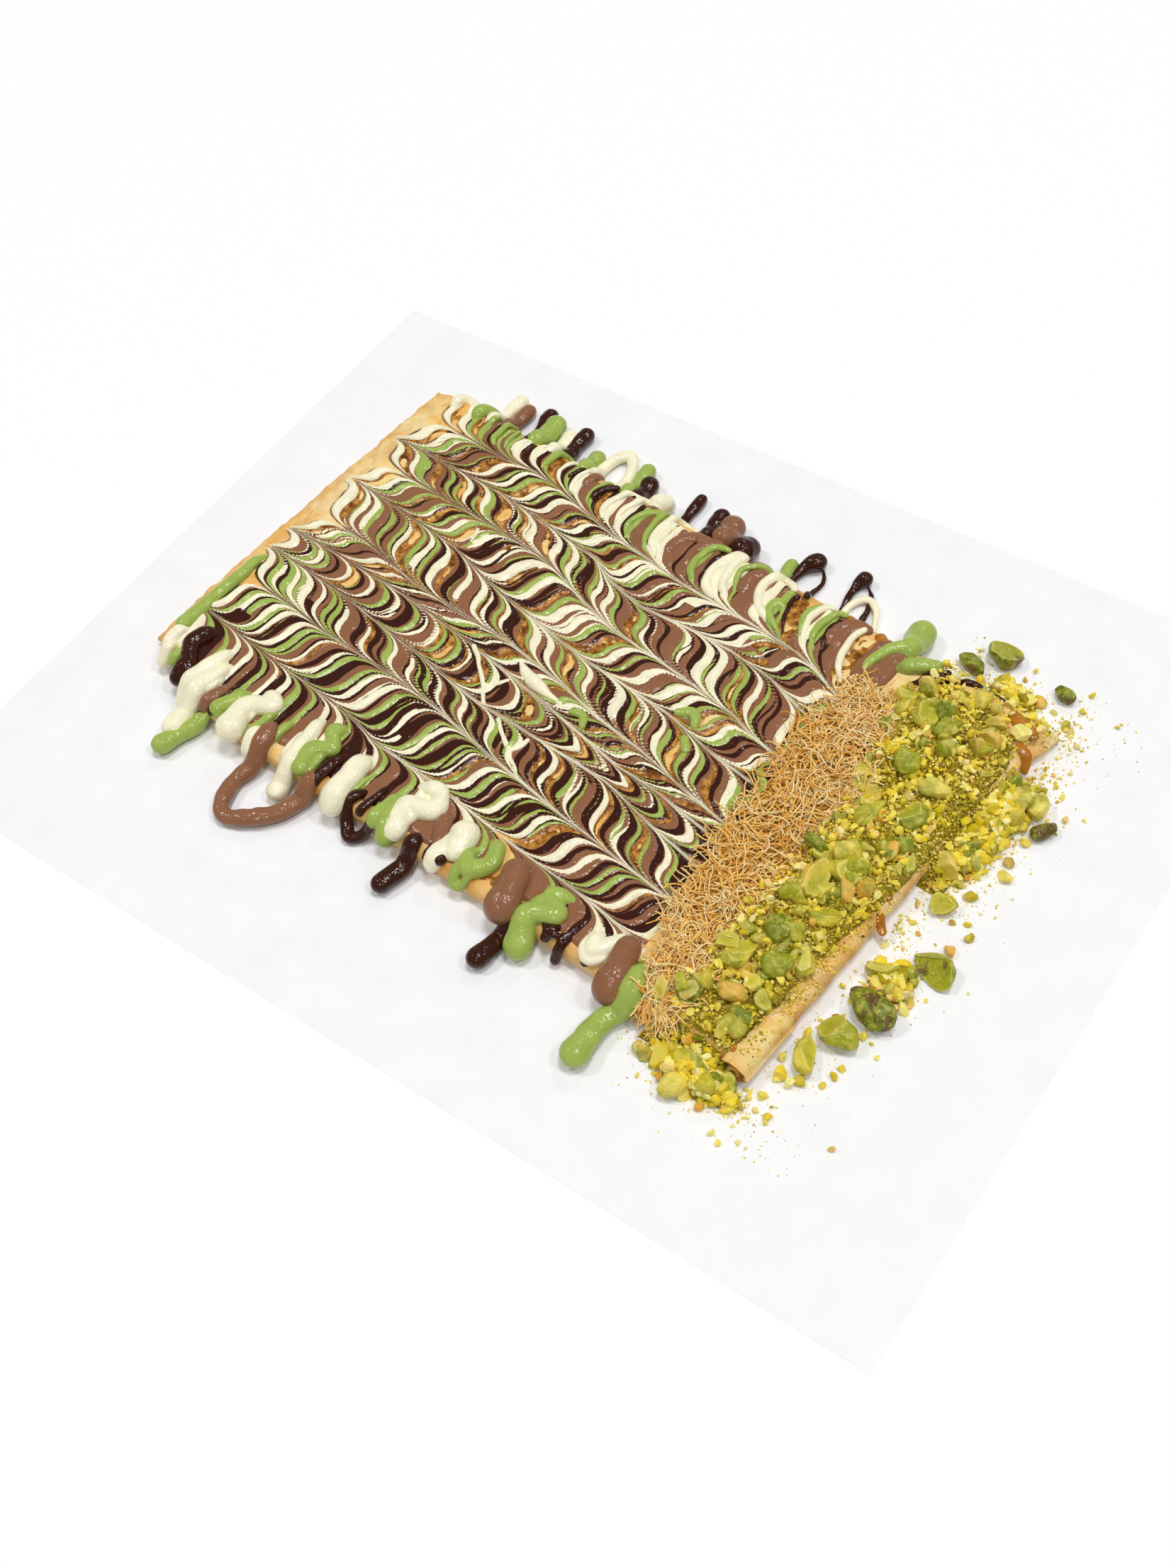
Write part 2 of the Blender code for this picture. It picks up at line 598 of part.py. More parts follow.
def chunk(name, place, size, draw):
    """A broken piece of nut: a rough ball of twenty faces."""
    mesh_data = bmesh.new()
    bmesh.ops.create_icosphere(mesh_data, subdivisions=1, radius=0.5 * size)
    for vert in mesh_data.verts:
        vert.co *= draw.uniform(0.75, 1.2)
        vert.co.z *= 0.8
    turn = Matrix.Rotation(draw.uniform(0.0, math.tau), 4, "Z")
    bmesh.ops.transform(mesh_data, matrix=Matrix.Translation(place) @ turn, verts=mesh_data.verts)
    return make_object(name, mesh_data)


def clear_of_kernels(u, v, room):
    places = kernel_places()
    return all(math.hypot(place.x - u, place.y - v) > 0.5 * size[0] + room for size, place, _ in places)


def build_pistachio_heap(material):
    def left(v):
        return follow(TOPPING_SEAM, v) + 0.5 * GAP

    right = uneven(lambda v: straight(PISTACHIO_RIGHT, v), -1.0, 7.0)
    core = heap_sheet(left, right, PISTACHIO_SPAN, 5, 24, PISTACHIO_DEPTH, 5.0)
    heap = make_object("crushed_pistachio", core, material)
    draw = random.Random(23)
    chunks = []
    while len(chunks) < CHUNKS_ON_HEAP:
        v = draw.uniform(PISTACHIO_SPAN[0] + 4.0, PISTACHIO_SPAN[1] - 4.0)
        size = draw.uniform(*CHUNK_SIZE)
        u = draw.uniform(left(v) + size, right(v) - 0.3 * size)
        if clear_of_kernels(u, v, 0.6 * size + 0.6):
            place = Vector((u, v, HEAP_FLOOR + 0.95 * PISTACHIO_DEPTH))
            chunks.append(chunk(f"chunk_{len(chunks)}", place, size, draw))
    combine(heap, chunks, "UNION")
    cut_kernel_beds(heap, lambda place: place.z > HEAP_FLOOR)
    return heap


def build_spill(name, centre, half, turn, height, count, material, seed):
    """A spilled heap on the paper: an uneven oval mound with broken pieces on it."""
    draw = random.Random(seed)
    mesh_data = bmesh.new()
    around = 16
    spread = [draw.uniform(0.86, 1.1) for step in range(around)]
    rings = []
    for share, rise in ((1.0, 0.25), (0.8, 0.7), (0.45, 1.0)):
        ring = []
        for step in range(around):
            angle = math.tau * step / around
            reach = share * spread[step]
            z = GAP + 0.05 + height * rise * draw.uniform(0.85, 1.15)
            ring.append(mesh_data.verts.new((reach * half[0] * math.cos(angle),
                                             reach * half[1] * math.sin(angle), z)))
        rings.append(ring)
    foot = [mesh_data.verts.new((vert.co.x, vert.co.y, GAP + 0.05)) for vert in rings[0]]
    for a, b in ((foot, rings[0]), (rings[0], rings[1]), (rings[1], rings[2])):
        for step in range(around):
            after = (step + 1) % around
            mesh_data.faces.new((a[step], a[after], b[after], b[step]))
    mesh_data.faces.new(rings[2])
    mesh_data.faces.new(list(reversed(foot)))
    place = Matrix.Translation((*centre, 0.0)) @ Matrix.Rotation(math.radians(turn), 4, "Z")
    bmesh.ops.transform(mesh_data, matrix=place, verts=mesh_data.verts)
    spill = make_object("spilled_pistachio_" + name, mesh_data, material)
    chunks = []
    for k in range(200):
        if len(chunks) == count:
            break
        u = centre[0] + half[0] * draw.uniform(-0.7, 0.7)
        v = centre[1] + half[1] * draw.uniform(-0.85, 0.85)
        size = draw.uniform(3.0, 5.0)
        if clear_of_kernels(u, v, 0.6 * size + 0.5):
            chunks.append(chunk(f"bit_{k}", Vector((u, v, max(0.75 * height, 0.7 * size))), size, draw))
    if chunks:
        combine(spill, chunks, "UNION")
    cut_kernel_beds(spill, lambda place: place.z < HEAP_FLOOR)
    return spill


def build_paper(material):
    mesh_data = bmesh.new()
    bmesh.ops.create_cube(mesh_data, size=1.0)
    size = (PAPER_LENGTH / MM, PAPER_WIDTH / MM, PAPER_THICKNESS / MM)
    bmesh.ops.scale(mesh_data, vec=size, verts=mesh_data.verts)
    bmesh.ops.translate(mesh_data, vec=(0.0, 0.0, 0.5 * size[2]), verts=mesh_data.verts)
    return make_object("paper_sheet", mesh_data, material)


def build_all():
    clear_scene()
    build_paper(make_material("baking_paper", PAPER_WHITE))
    crepe_axes = bpy.data.objects.new("crepe_axes", None)
    bpy.context.scene.collection.objects.link(crepe_axes)
    crepe_axes.location = (*CREPE_CENTRE, PAPER_THICKNESS)
    crepe_axes.rotation_euler = (0.0, 0.0, CREPE_TURN)
    nut = make_material("crushed_nut", NUT_GREEN)
    pieces = [
        build_crepe(make_material("crust", CRUST)),
        build_kataifi(make_material("fried_threads", THREAD_GOLD)),
        build_pistachio_heap(nut),
    ]
    pieces += [build_spill(*spill, nut, 40 + k) for k, spill in enumerate(SPILLS)]
    pieces += build_kernels(make_material("pistachio_kernel", KERNEL_GREEN))
    for piece in pieces:
        piece.parent = crepe_axes


build_all()
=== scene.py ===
import math

import bpy
import numpy as np
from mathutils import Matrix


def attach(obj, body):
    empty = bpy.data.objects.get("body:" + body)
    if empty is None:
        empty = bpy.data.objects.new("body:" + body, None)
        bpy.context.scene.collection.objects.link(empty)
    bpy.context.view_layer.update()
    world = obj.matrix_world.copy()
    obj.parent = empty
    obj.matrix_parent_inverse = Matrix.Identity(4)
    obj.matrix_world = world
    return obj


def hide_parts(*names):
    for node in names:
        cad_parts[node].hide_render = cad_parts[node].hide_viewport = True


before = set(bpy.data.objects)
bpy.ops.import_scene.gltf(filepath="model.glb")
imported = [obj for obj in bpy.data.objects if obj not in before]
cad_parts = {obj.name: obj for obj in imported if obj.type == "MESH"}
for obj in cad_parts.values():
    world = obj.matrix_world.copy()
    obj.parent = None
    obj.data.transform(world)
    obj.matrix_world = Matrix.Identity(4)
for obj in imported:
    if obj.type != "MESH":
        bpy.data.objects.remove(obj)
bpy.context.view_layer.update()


# Floor, light and camera
# The photo is a bright product shot: a seamless white table under one broad overhead softbox, with
# four weaker ones all round it and a faintly lit white room. The camera looks down at the crepe's
# near right corner.

FLOOR_WHITE = "#FDFDFD"


def hex_colour(code):
    """An sRGB hex code as linear red, green, blue and alpha."""
    parts = [int(code[k:k + 2], 16) / 255.0 for k in (1, 3, 5)]
    return tuple(p / 12.92 if p <= 0.04045 else ((p + 0.055) / 1.055) ** 2.4 for p in parts) + (1.0,)


def add_node(tree, kind, out=None, links=None, settings=None, stops=None):
    """Adds a shader node and returns its output called out, or the node itself.

    Links give each input, by its identifier, a value or another node's output. Stops are the
    positions and hex codes of a colour ramp.
    """
    made = tree.nodes.new("ShaderNode" + kind)
    for name, value in (settings or {}).items():
        setattr(made, name, value)
    sockets = {socket.identifier: socket for socket in made.inputs}
    for name, value in (links or {}).items():
        if isinstance(value, bpy.types.NodeSocket):
            tree.links.new(value, sockets[name])
        else:
            sockets[name].default_value = value
    if stops:
        elements = made.color_ramp.elements
        while len(elements) < len(stops):
            elements.new(0.5)
        for element, (place, code) in zip(elements, stops):
            element.position = place
            element.color = hex_colour(code)
    return {socket.identifier: socket for socket in made.outputs}[out] if out else made


def new_material(name):
    """An empty node material with its Principled shader already on the output."""
    material = bpy.data.materials.new(name)
    material.use_nodes = True
    tree = material.node_tree
    tree.nodes.clear()
    shader = add_node(tree, "BsdfPrincipled")
    add_node(tree, "OutputMaterial", links={"Surface": shader.outputs["BSDF"]})
    return material, tree, shader


floor_mesh = bpy.data.meshes.new("floor")
floor_mesh.from_pydata([(-4, -4, 0), (4, -4, 0), (4, 4, 0), (-4, 4, 0)], [], [(0, 1, 2, 3)])
floor = bpy.data.objects.new("floor", floor_mesh)
bpy.context.scene.collection.objects.link(floor)
floor.location.z = -0.00005  # just under the paper's underside
# A white table top without a pattern, matt, so that it shows soft shadows and no reflections.
table_white, tree, shader = new_material("table_white")
shader.inputs["Base Color"].default_value = hex_colour(FLOOR_WHITE)
shader.inputs["Roughness"].default_value = 0.9
floor_mesh.materials.append(table_white)

world = bpy.data.worlds.new("studio")
bpy.context.scene.world = world
world.use_nodes = True
world.node_tree.nodes["Background"].inputs["Color"].default_value = (1.0, 1.0, 1.0, 1.0)
world.node_tree.nodes["Background"].inputs["Strength"].default_value = 0.27


def soft_light(name, heading, height, spread, strength):
    """A distant soft light: where it comes from and its width, in degrees."""
    lamp = bpy.data.lights.new(name, "SUN")
    lamp.angle = math.radians(spread)
    lamp.energy = strength
    thing = bpy.data.objects.new(name, lamp)
    bpy.context.scene.collection.objects.link(thing)
    thing.rotation_euler = (math.radians(90.0 - height), 0.0, math.radians(heading))


soft_light("overhead_softbox", 150.0, 80.0, 15.0, 1.05)
soft_light("left_softbox", 285.0, 58.0, 8.0, 0.52)
soft_light("right_softbox", 110.0, 56.0, 8.0, 0.48)
soft_light("front_softbox", 30.0, 60.0, 7.0, 0.44)
soft_light("back_softbox", 190.0, 42.0, 6.0, 0.16)

lens = bpy.data.cameras.new("camera")
lens.sensor_width = 36.0
lens.lens = 43.92
camera = bpy.data.objects.new("camera", lens)
bpy.context.scene.collection.objects.link(camera)
camera.location = (0.29040, -0.31412, 0.54957)
camera.rotation_euler = (0.626635, 0.106332, 0.615673)
bpy.context.scene.camera = camera
bpy.context.scene.view_settings.view_transform = "Standard"


# Baking paper
# A thin white silicone-coated sheet that carries the crepe. It lies flat on the table, hardly
# raised inside its thin edges, and is faintly mottled.

PAPER_SIZE = (406.0, 300.0)
PAPER_RIM_HEIGHT = 0.06
PAPER_HEIGHT = 0.4
PAPER_CURL = 0.3


def make_piece(name, verts, faces, material, numbers=None, node=None, smooth=True, merge=None):
    """An object from arrays: vertices in mm in the part's frame, faces as rows of 3 or 4.

    With merge, a grain in mm, pieces that overlap flow together into one smooth skin.
    """
    mesh = bpy.data.meshes.new(name)
    faces = np.asarray(faces, dtype=np.int32)
    mesh.vertices.add(len(verts))
    mesh.vertices.foreach_set("co", (np.asarray(verts, dtype=np.float32) * 0.001).ravel())
    mesh.loops.add(faces.size)
    mesh.loops.foreach_set("vertex_index", faces.ravel())
    mesh.polygons.add(len(faces))
    mesh.polygons.foreach_set("loop_start", np.arange(0, faces.size, faces.shape[1], dtype=np.int32))
    mesh.polygons.foreach_set("use_smooth", np.full(len(faces), smooth, dtype=bool))
    for key, values in (numbers or {}).items():
        mesh.attributes.new(key, "FLOAT", "POINT").data.foreach_set("value", np.asarray(values, np.float32))
    mesh.update(calc_edges=True)
    mesh.validate()
    mesh.materials.append(material)
    thing = bpy.data.objects.new(name, mesh)
    bpy.context.scene.collection.objects.link(thing)
    if merge:
        skin = thing.modifiers.new("skin", "REMESH")
        skin.mode, skin.voxel_size, skin.use_smooth_shade = "VOXEL", merge * 0.001, True
        settle = thing.modifiers.new("settle", "SMOOTH")
        settle.factor, settle.iterations = 0.5, 5
        view = bpy.context.evaluated_depsgraph_get()
        thing.data = bpy.data.meshes.new_from_object(thing.evaluated_get(view))
        thing.modifiers.clear()
        bpy.data.meshes.remove(mesh)
    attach(thing, "root")
    if node:
        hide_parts(node)
    return thing


def grid_faces(rows, columns):
    """Quads of a grid of vertices stored row by row, facing up when rows run along +v."""
    corner = np.arange(rows - 1)[:, None] * columns + np.arange(columns - 1)[None, :]
    return np.stack([corner, corner + 1, corner + columns + 1, corner + columns], -1).reshape(-1, 4)


def smoothstep(t):
    """0 below 0, 1 above 1, and a soft rise between."""
    t = np.clip(t, 0.0, 1.0)
    return t * t * (3.0 - 2.0 * t)


def wander(x, y, size, seed, octaves=3):
    """Smooth noise from -1 to 1 over the plane; size is the length of its largest bumps in mm."""
    total, weight, amount = 0.0, 0.0, 1.0
    for k in range(octaves):
        table = np.random.default_rng(seed + k).random((64, 64))
        a, b = np.asarray(x) / size, np.asarray(y) / size
        i, j = np.floor(a).astype(int), np.floor(b).astype(int)
        s, t = smoothstep(a - i), smoothstep(b - j)
        low = table[i % 64, j % 64] * (1 - s) + table[(i + 1) % 64, j % 64] * s
        high = table[i % 64, (j + 1) % 64] * (1 - s) + table[(i + 1) % 64, (j + 1) % 64] * s
        total = total + amount * (low * (1 - t) + high * t)
        weight += amount
        amount *= 0.5
        size = size * 0.5
    return 2.0 * total / weight - 1.0


# Bleached cellulose with a silicone coat, smooth and half matt. It gives a cool near-white with
# faint clouds 17 mm wide and a barely felt grain of fibres 1.1 mm apart.
paper_white, tree, shader = new_material("baking_paper_white")
at = add_node(tree, "TexCoord", "Object")
fibres = add_node(tree, "TexNoise", "Fac", {
    "Vector": at, "Scale": 1000.0 / 1.11, "Detail": 5.0, "Roughness": 0.6})
clouds = add_node(tree, "TexNoise", "Fac", {
    "Vector": at, "Scale": 1000.0 / 16.7, "Detail": 4.0, "Roughness": 0.6})
cloudy = add_node(tree, "MapRange", "Result", {"Value": clouds, "From Min": 0.35, "From Max": 0.65})
shade = add_node(tree, "Mix", "Result_Color", {
    "Factor_Float": cloudy, "A_Color": hex_colour("#F5F5F6"), "B_Color": hex_colour("#F9F9FA")},
    {"data_type": "RGBA"})
grain = add_node(tree, "Bump", "Normal", {"Height": fibres, "Distance": 0.00008, "Strength": 0.6})
tree.links.new(shade, shader.inputs["Base Color"])
tree.links.new(grain, shader.inputs["Normal"])
shader.inputs["Roughness"].default_value = 0.62


def closed_sheet(top, below):
    """A thin closed sheet from two grids of points, its four sides on vertices of their own."""
    across, along = top.shape[:2]
    count = across * along
    ring = [j for j in range(along)] + [j * along + along - 1 for j in range(1, across)]
    ring += [(across - 1) * along + j for j in range(along - 2, -1, -1)]
    ring += [j * along for j in range(across - 2, 0, -1)]
    ring = np.array(ring)
    brim = np.arange(len(ring)) + 2 * count
    after = np.roll(brim, -1)
    faces = grid_faces(across, along)
    side = np.stack([brim, brim + len(ring), after + len(ring), after], -1)
    top, below = top.reshape(-1, 3), below.reshape(-1, 3)
    return (np.concatenate([top, below, top[ring], below[ring]]),
            np.concatenate([faces, faces[:, ::-1] + count, side]))


gx, gy = np.meshgrid(np.linspace(-0.5, 0.5, 55) * PAPER_SIZE[0], np.linspace(-0.5, 0.5, 41) * PAPER_SIZE[1])
rim = np.minimum(0.5 * PAPER_SIZE[0] - np.abs(gx), 0.5 * PAPER_SIZE[1] - np.abs(gy))
lift = PAPER_CURL * (1.0 - smoothstep(rim / 45.0)) * (0.55 + 0.45 * wander(gx, gy, 90.0, 5, 2))
top = PAPER_RIM_HEIGHT + (PAPER_HEIGHT - PAPER_RIM_HEIGHT + lift) * smoothstep(rim / 10.0)
verts, faces = closed_sheet(np.stack([gx, gy, top], -1), np.stack([gx, gy, 0.0 * gx], -1))
make_piece("baking_paper", verts, faces, paper_white, node="paper_sheet")


# Crepe
# A thin golden crepe folded over into a long flat rectangle, brown and blistered where it
# touched the griddle. It lies on the paper; its folded rims are rounded, its left end is thin.

CREPE_PLACE = (-16.4, 6.4, PAPER_HEIGHT)
CREPE_TURN = math.radians(-5.4)
BODY_TOP, THIN_END_TOP, GAP = 9.2, 4.8, 0.3
HALF_LENGTH, WIDTH = 152.0, 176.0
RIM_ROUNDING = 4.5
LEFT_EDGE = [(-75.0, -148.0), (-33.0, -151.0), (91.0, -152.0)]
RIGHT_EDGE = [(-83.0, 149.6), (48.0, 150.2), (74.0, 153.0), (87.0, 155.0)]
NEAR_EDGE = [(-150.0, -73.0), (-104.0, -87.5), (-80.0, -89.0), (4.0, -87.0), (89.0, -85.0),
             (150.0, -83.0)]
FAR_EDGE = [(-152.0, 91.0), (-60.0, 89.5), (40.0, 87.5), (155.0, 87.0)]


def follow(points, x):
    """The value at x of straight runs through points of (x, value)."""
    table = np.array(sorted(points), dtype=float)
    return np.interp(x, table[:, 0], table[:, 1])


def to_frame(points):
    """Crepe axes (u, v, z from the paper's top) to the part's frame, in mm."""
    points = np.asarray(points, dtype=float)
    c, s = math.cos(CREPE_TURN), math.sin(CREPE_TURN)
    x = CREPE_PLACE[0] + points[..., 0] * c - points[..., 1] * s
    y = CREPE_PLACE[1] + points[..., 0] * s + points[..., 1] * c
    return np.stack([x, y, points[..., 2] + CREPE_PLACE[2]], -1)


def quarter_round(t):
    """0 below 0, 1 above 1, and a quarter of a circle between, steep at 0."""
    return np.sqrt(1.0 - (1.0 - np.clip(t, 0.0, 1.0)) ** 2)


def body_top(u):
    """Height of the crepe's flat top, which thins toward its left end."""
    return THIN_END_TOP + (BODY_TOP - THIN_END_TOP) * smoothstep((u + HALF_LENGTH) / 18.0)


def rim_distance(u, v):
    """Distance from the crepe's outline, positive inside."""
    near, far = v - follow(NEAR_EDGE, u), follow(FAR_EDGE, u) - v
    left, right = u - follow(LEFT_EDGE, v), follow(RIGHT_EDGE, v) - u
    return np.minimum(np.minimum(near, far), np.minimum(left, right))


def crepe_height(u, v):
    """Height of the crepe's top, rounded down to half height at its rim."""
    return body_top(u) * (0.5 + 0.5 * quarter_round(rim_distance(u, v) / RIM_ROUNDING))


# Wheat batter fried on a griddle, half matt and a little see-through, so that it glows warm. It gives
# golden patches 26 mm wide, freckles of 5 mm, scorched rims, and a grain of pits 2.4 and 0.7 mm wide.
crepe_gold, tree, shader = new_material("griddled_crepe_gold")
at = add_node(tree, "TexCoord", "Object")
patches = add_node(tree, "TexNoise", "Fac", {
    "Vector": at, "Scale": 1000.0 / 26.3, "Detail": 6.0, "Roughness": 0.62})
spots = add_node(tree, "TexNoise", "Fac", {
    "Vector": at, "Scale": 1000.0 / 4.76, "Detail": 5.0, "Roughness": 0.65})
gold = add_node(tree, "ValToRGB", "Color", {"Fac": patches}, stops=[
    (0.30, "#FCE8B6"), (0.44, "#FADA94"), (0.56, "#F5C672"), (0.70, "#EAA94A")])
freckles = add_node(tree, "ValToRGB", "Color", {"Fac": spots}, stops=[
    (0.46, "#FFFFFF"), (0.60, "#F6DCAA"), (0.72, "#E2AC5C")])
freckled = add_node(tree, "Mix", "Result_Color", {
    "Factor_Float": 0.55, "A_Color": gold, "B_Color": freckles},
    {"data_type": "RGBA", "blend_type": "MULTIPLY"})
browning = add_node(tree, "Attribute", "Fac", settings={"attribute_name": "browning"})
scorched = add_node(tree, "MapRange", "Result", {"Value": browning, "To Max": 0.75})
browned = add_node(tree, "Mix", "Result_Color", {
    "Factor_Float": scorched, "A_Color": freckled, "B_Color": hex_colour("#D08E3C")},
    {"data_type": "RGBA"})
fine_pits = add_node(tree, "TexNoise", "Fac", {
    "Vector": at, "Scale": 1000.0 / 0.667, "Detail": 4.0, "Roughness": 0.6})
broad_pits = add_node(tree, "TexNoise", "Fac", {
    "Vector": at, "Scale": 1000.0 / 2.38, "Detail": 4.0, "Roughness": 0.6})
pits = add_node(tree, "Math", "Value", {"Value": fine_pits, "Value_001": 0.35, "Value_002": broad_pits},
                {"operation": "MULTIPLY_ADD"})
grain = add_node(tree, "Bump", "Normal", {"Height": pits, "Distance": 0.0009, "Strength": 0.7})
tree.links.new(browned, shader.inputs["Base Color"])
tree.links.new(grain, shader.inputs["Normal"])
shader.inputs["Roughness"].default_value = 0.5
shader.inputs["Subsurface Weight"].default_value = 0.15
shader.inputs["Subsurface Radius"].default_value = (0.004, 0.002, 0.001)
shader.inputs["Subsurface Scale"].default_value = 0.5


def roll_profile(from_end):
    """Height across the rolled right rim, a tube beside a crease, by the distance from its end."""
    bulge = np.clip(1.0 - ((from_end - 5.2) / 5.2) ** 2, 0.0, 1.0) ** 0.42
    valley = np.where(from_end > 5.2, BODY_TOP - 2.0, 0.0)
    return np.maximum(BODY_TOP * (0.5 + 0.5 * bulge), valley)


def spaced(low, high, step, fine, margin):
    """Places from low to high, closer together within a margin of either end."""
    edge = np.arange(0.0, margin, fine)
    return np.unique(np.concatenate([low + edge, np.arange(low + margin, high - margin, step), high - edge]))


# The folded body: a grid between the four edges, its top and its underside joined along the rims.
su = spaced(-HALF_LENGTH, HALF_LENGTH, 1.3, 0.55, 12.0)
sv = spaced(0.0, WIDTH, 1.3, 0.55, 9.0)
lin_u, share_v = np.meshgrid(su, sv / WIDTH)
v = follow(NEAR_EDGE, lin_u) * (1 - share_v) + follow(FAR_EDGE, lin_u) * share_v
share_u = (lin_u + HALF_LENGTH) / (2.0 * HALF_LENGTH)
u = follow(LEFT_EDGE, v) * (1 - share_u) + follow(RIGHT_EDGE, v) * share_u
from_side = np.minimum(share_v, 1 - share_v) * WIDTH
inside = np.minimum(from_side, np.minimum(share_u, 1 - share_u) * 2.0 * HALF_LENGTH)
blister = wander(u, v, 9.0, 21) + 0.5 * wander(u, v, 3.2, 31, 2)
z_top = body_top(u) * (0.5 + 0.5 * quarter_round(inside / RIM_ROUNDING))
from_end = follow(RIGHT_EDGE, v) - u
rolled = smoothstep((6.0 - v) / 14.0) * smoothstep((11.0 - from_end) / 1.0)
blunt = 0.5 + 0.5 * quarter_round(from_side / 1.6)
z_top = z_top * (1.0 - rolled) + roll_profile(from_end) * blunt * rolled
pocket = smoothstep((u - 142.0) / 10.0) * smoothstep((v - 66.0) / 14.0)
fold = np.exp(-((v - 79.0 - 0.45 * (u - 141.0)) / 0.8) ** 2)
fold = fold + 0.7 * np.exp(-((v - 72.0 - 0.95 * (u - 143.0)) / 0.7) ** 2)
z_top = z_top * (1.0 - 0.42 * pocket) - 1.1 * fold * pocket
puffed = smoothstep((-133.0 - u) / 6.0)
z_top = z_top + (0.5 * blister - 0.1 + 0.7 * rolled * blister) * np.clip(inside / 3.0, 0, 1)
bubbles = 1.5 * np.abs(wander(u, v, 6.0, 43)) + 0.5 * wander(u, v, 2.4, 44, 2)
z_top = z_top + puffed * np.clip(inside / 1.5, 0, 1) * bubbles
z_low = GAP + (0.5 * body_top(u) - GAP) * (1.0 - quarter_round(inside / 4.0))
browning = np.clip(0.5 + wander(u, v, 14.0, 41) * 1.2, 0, 1) * (1.0 - smoothstep(inside / 7.0)) * 0.6
browning = np.maximum(browning, puffed * np.clip(0.1 + 1.1 * wander(u, v, 10.0, 45), 0, 0.7))
browning = np.maximum(browning, rolled * np.clip(0.15 + 1.1 * wander(u, v, 6.0, 42), 0, 0.75))
u = u - 0.7 * (1 + wander(v, v * 0, 9.0, 36)) * smoothstep((u - 135.0) / 14.0)
u = u + 0.9 * (1 + wander(v, v * 0, 5.0, 37)) * smoothstep((-143.0 - u) / 8.0)
rows, columns = u.shape
top = to_frame(np.stack([u, v, z_top], -1)).reshape(-1, 3)
low = to_frame(np.stack([u, v, z_low], -1)).reshape(-1, 3)
faces = grid_faces(rows, columns)
count = rows * columns
edge = np.zeros((rows, columns), bool)
edge[[0, -1], :] = True
edge[:, [0, -1]] = True
shared = np.arange(count) + count
shared[edge.ravel()] = np.arange(count)[edge.ravel()]
faces = np.concatenate([faces, shared[faces[:, ::-1]]])
used = np.unique(faces)
lookup = np.zeros(2 * count, int)
lookup[used] = np.arange(len(used))
make_piece("folded_crepe", np.concatenate([top, low])[used], lookup[faces], crepe_gold,
           {"browning": np.concatenate([browning.ravel(), browning.ravel()])[used]},
           node="crepe")

# The torn layer at the near right corner, which lifts along its left edge and is scorched there.
gv, gs = np.meshgrid(np.linspace(-85.0, -60.0, 56), np.linspace(0.0, 1.0, 26), indexing="ij")
left = 139.6 + 0.17 * (gv + 85.0) + 1.4 * wander(gv, gv * 0, 5.0, 46)
gu = left + (follow(RIGHT_EDGE, gv) + 0.5 - left) * gs
gv = gv + 1.2 * wander(gu, gv * 0, 4.0, 47, 2) * smoothstep((gv + 85.0) / 25.0)
blister = 0.35 * np.abs(wander(gu, gv, 4.5, 48)) + 0.25 * wander(gu, gv, 1.6, 49, 2)
gz = roll_profile(follow(RIGHT_EDGE, gv) - gu) + 0.55 + blister + 0.9 * (1.0 - smoothstep(gs / 0.16))
sheet = np.stack([gu, gv, gz], -1)
scorched = np.clip(1.0 - np.minimum(gs * 9.0, -60.0 - gv) / 1.5, 0, 1)
scorched = scorched * (0.6 + 0.4 * wander(gu, gv, 3.0, 50))
scorched = np.concatenate([scorched.ravel(), scorched.ravel()])
verts, faces = closed_sheet(to_frame(sheet), to_frame(sheet - [0.0, 0.0, 0.4]))
make_piece("torn_crepe_flap", verts, faces, crepe_gold,
           {"browning": np.concatenate([scorched, np.full(len(verts) - len(scorched), 0.6)])},
           node="crepe")

# The layers in the near end of the rolled right rim: one sheet wound inwards round the roll's middle.
ROLL_MIDDLE_U, ROLL_MIDDLE_Z = 145.2, 5.0
angle, depth = np.meshgrid(np.linspace(-0.4, 2.9 * math.pi, 60), np.linspace(0.0, 1.0, 6), indexing="ij")
reach = 4.5 - 0.42 * (angle + 0.4)
gu = ROLL_MIDDLE_U + reach * np.cos(-angle)
gz = ROLL_MIDDLE_Z + 0.95 * reach * np.sin(-angle)
gv = -85.3 + 4.0 * depth + 0.3 * np.sin(3.0 * angle)
layer = np.stack([gu, gv, gz], -1)
inner_u = ROLL_MIDDLE_U + (reach - 0.5) * np.cos(-angle)
inner_z = ROLL_MIDDLE_Z + 0.95 * (reach - 0.5) * np.sin(-angle)
inner = np.stack([inner_u, gv, inner_z], -1)
verts, faces = closed_sheet(to_frame(inner), to_frame(layer))
make_piece("open_roll_end", verts, faces, crepe_gold, {"browning": np.full(len(verts), 0.95)},
           node="crepe")


# Marbled sauces
# White chocolate, pistachio cream, milk and dark chocolate were poured across the crepe in thin
# lines, then combed along it by nine strokes, mostly in turns left and right. Each stroke drags the
# lines into points and fine threads; between the strokes they set as ridges.

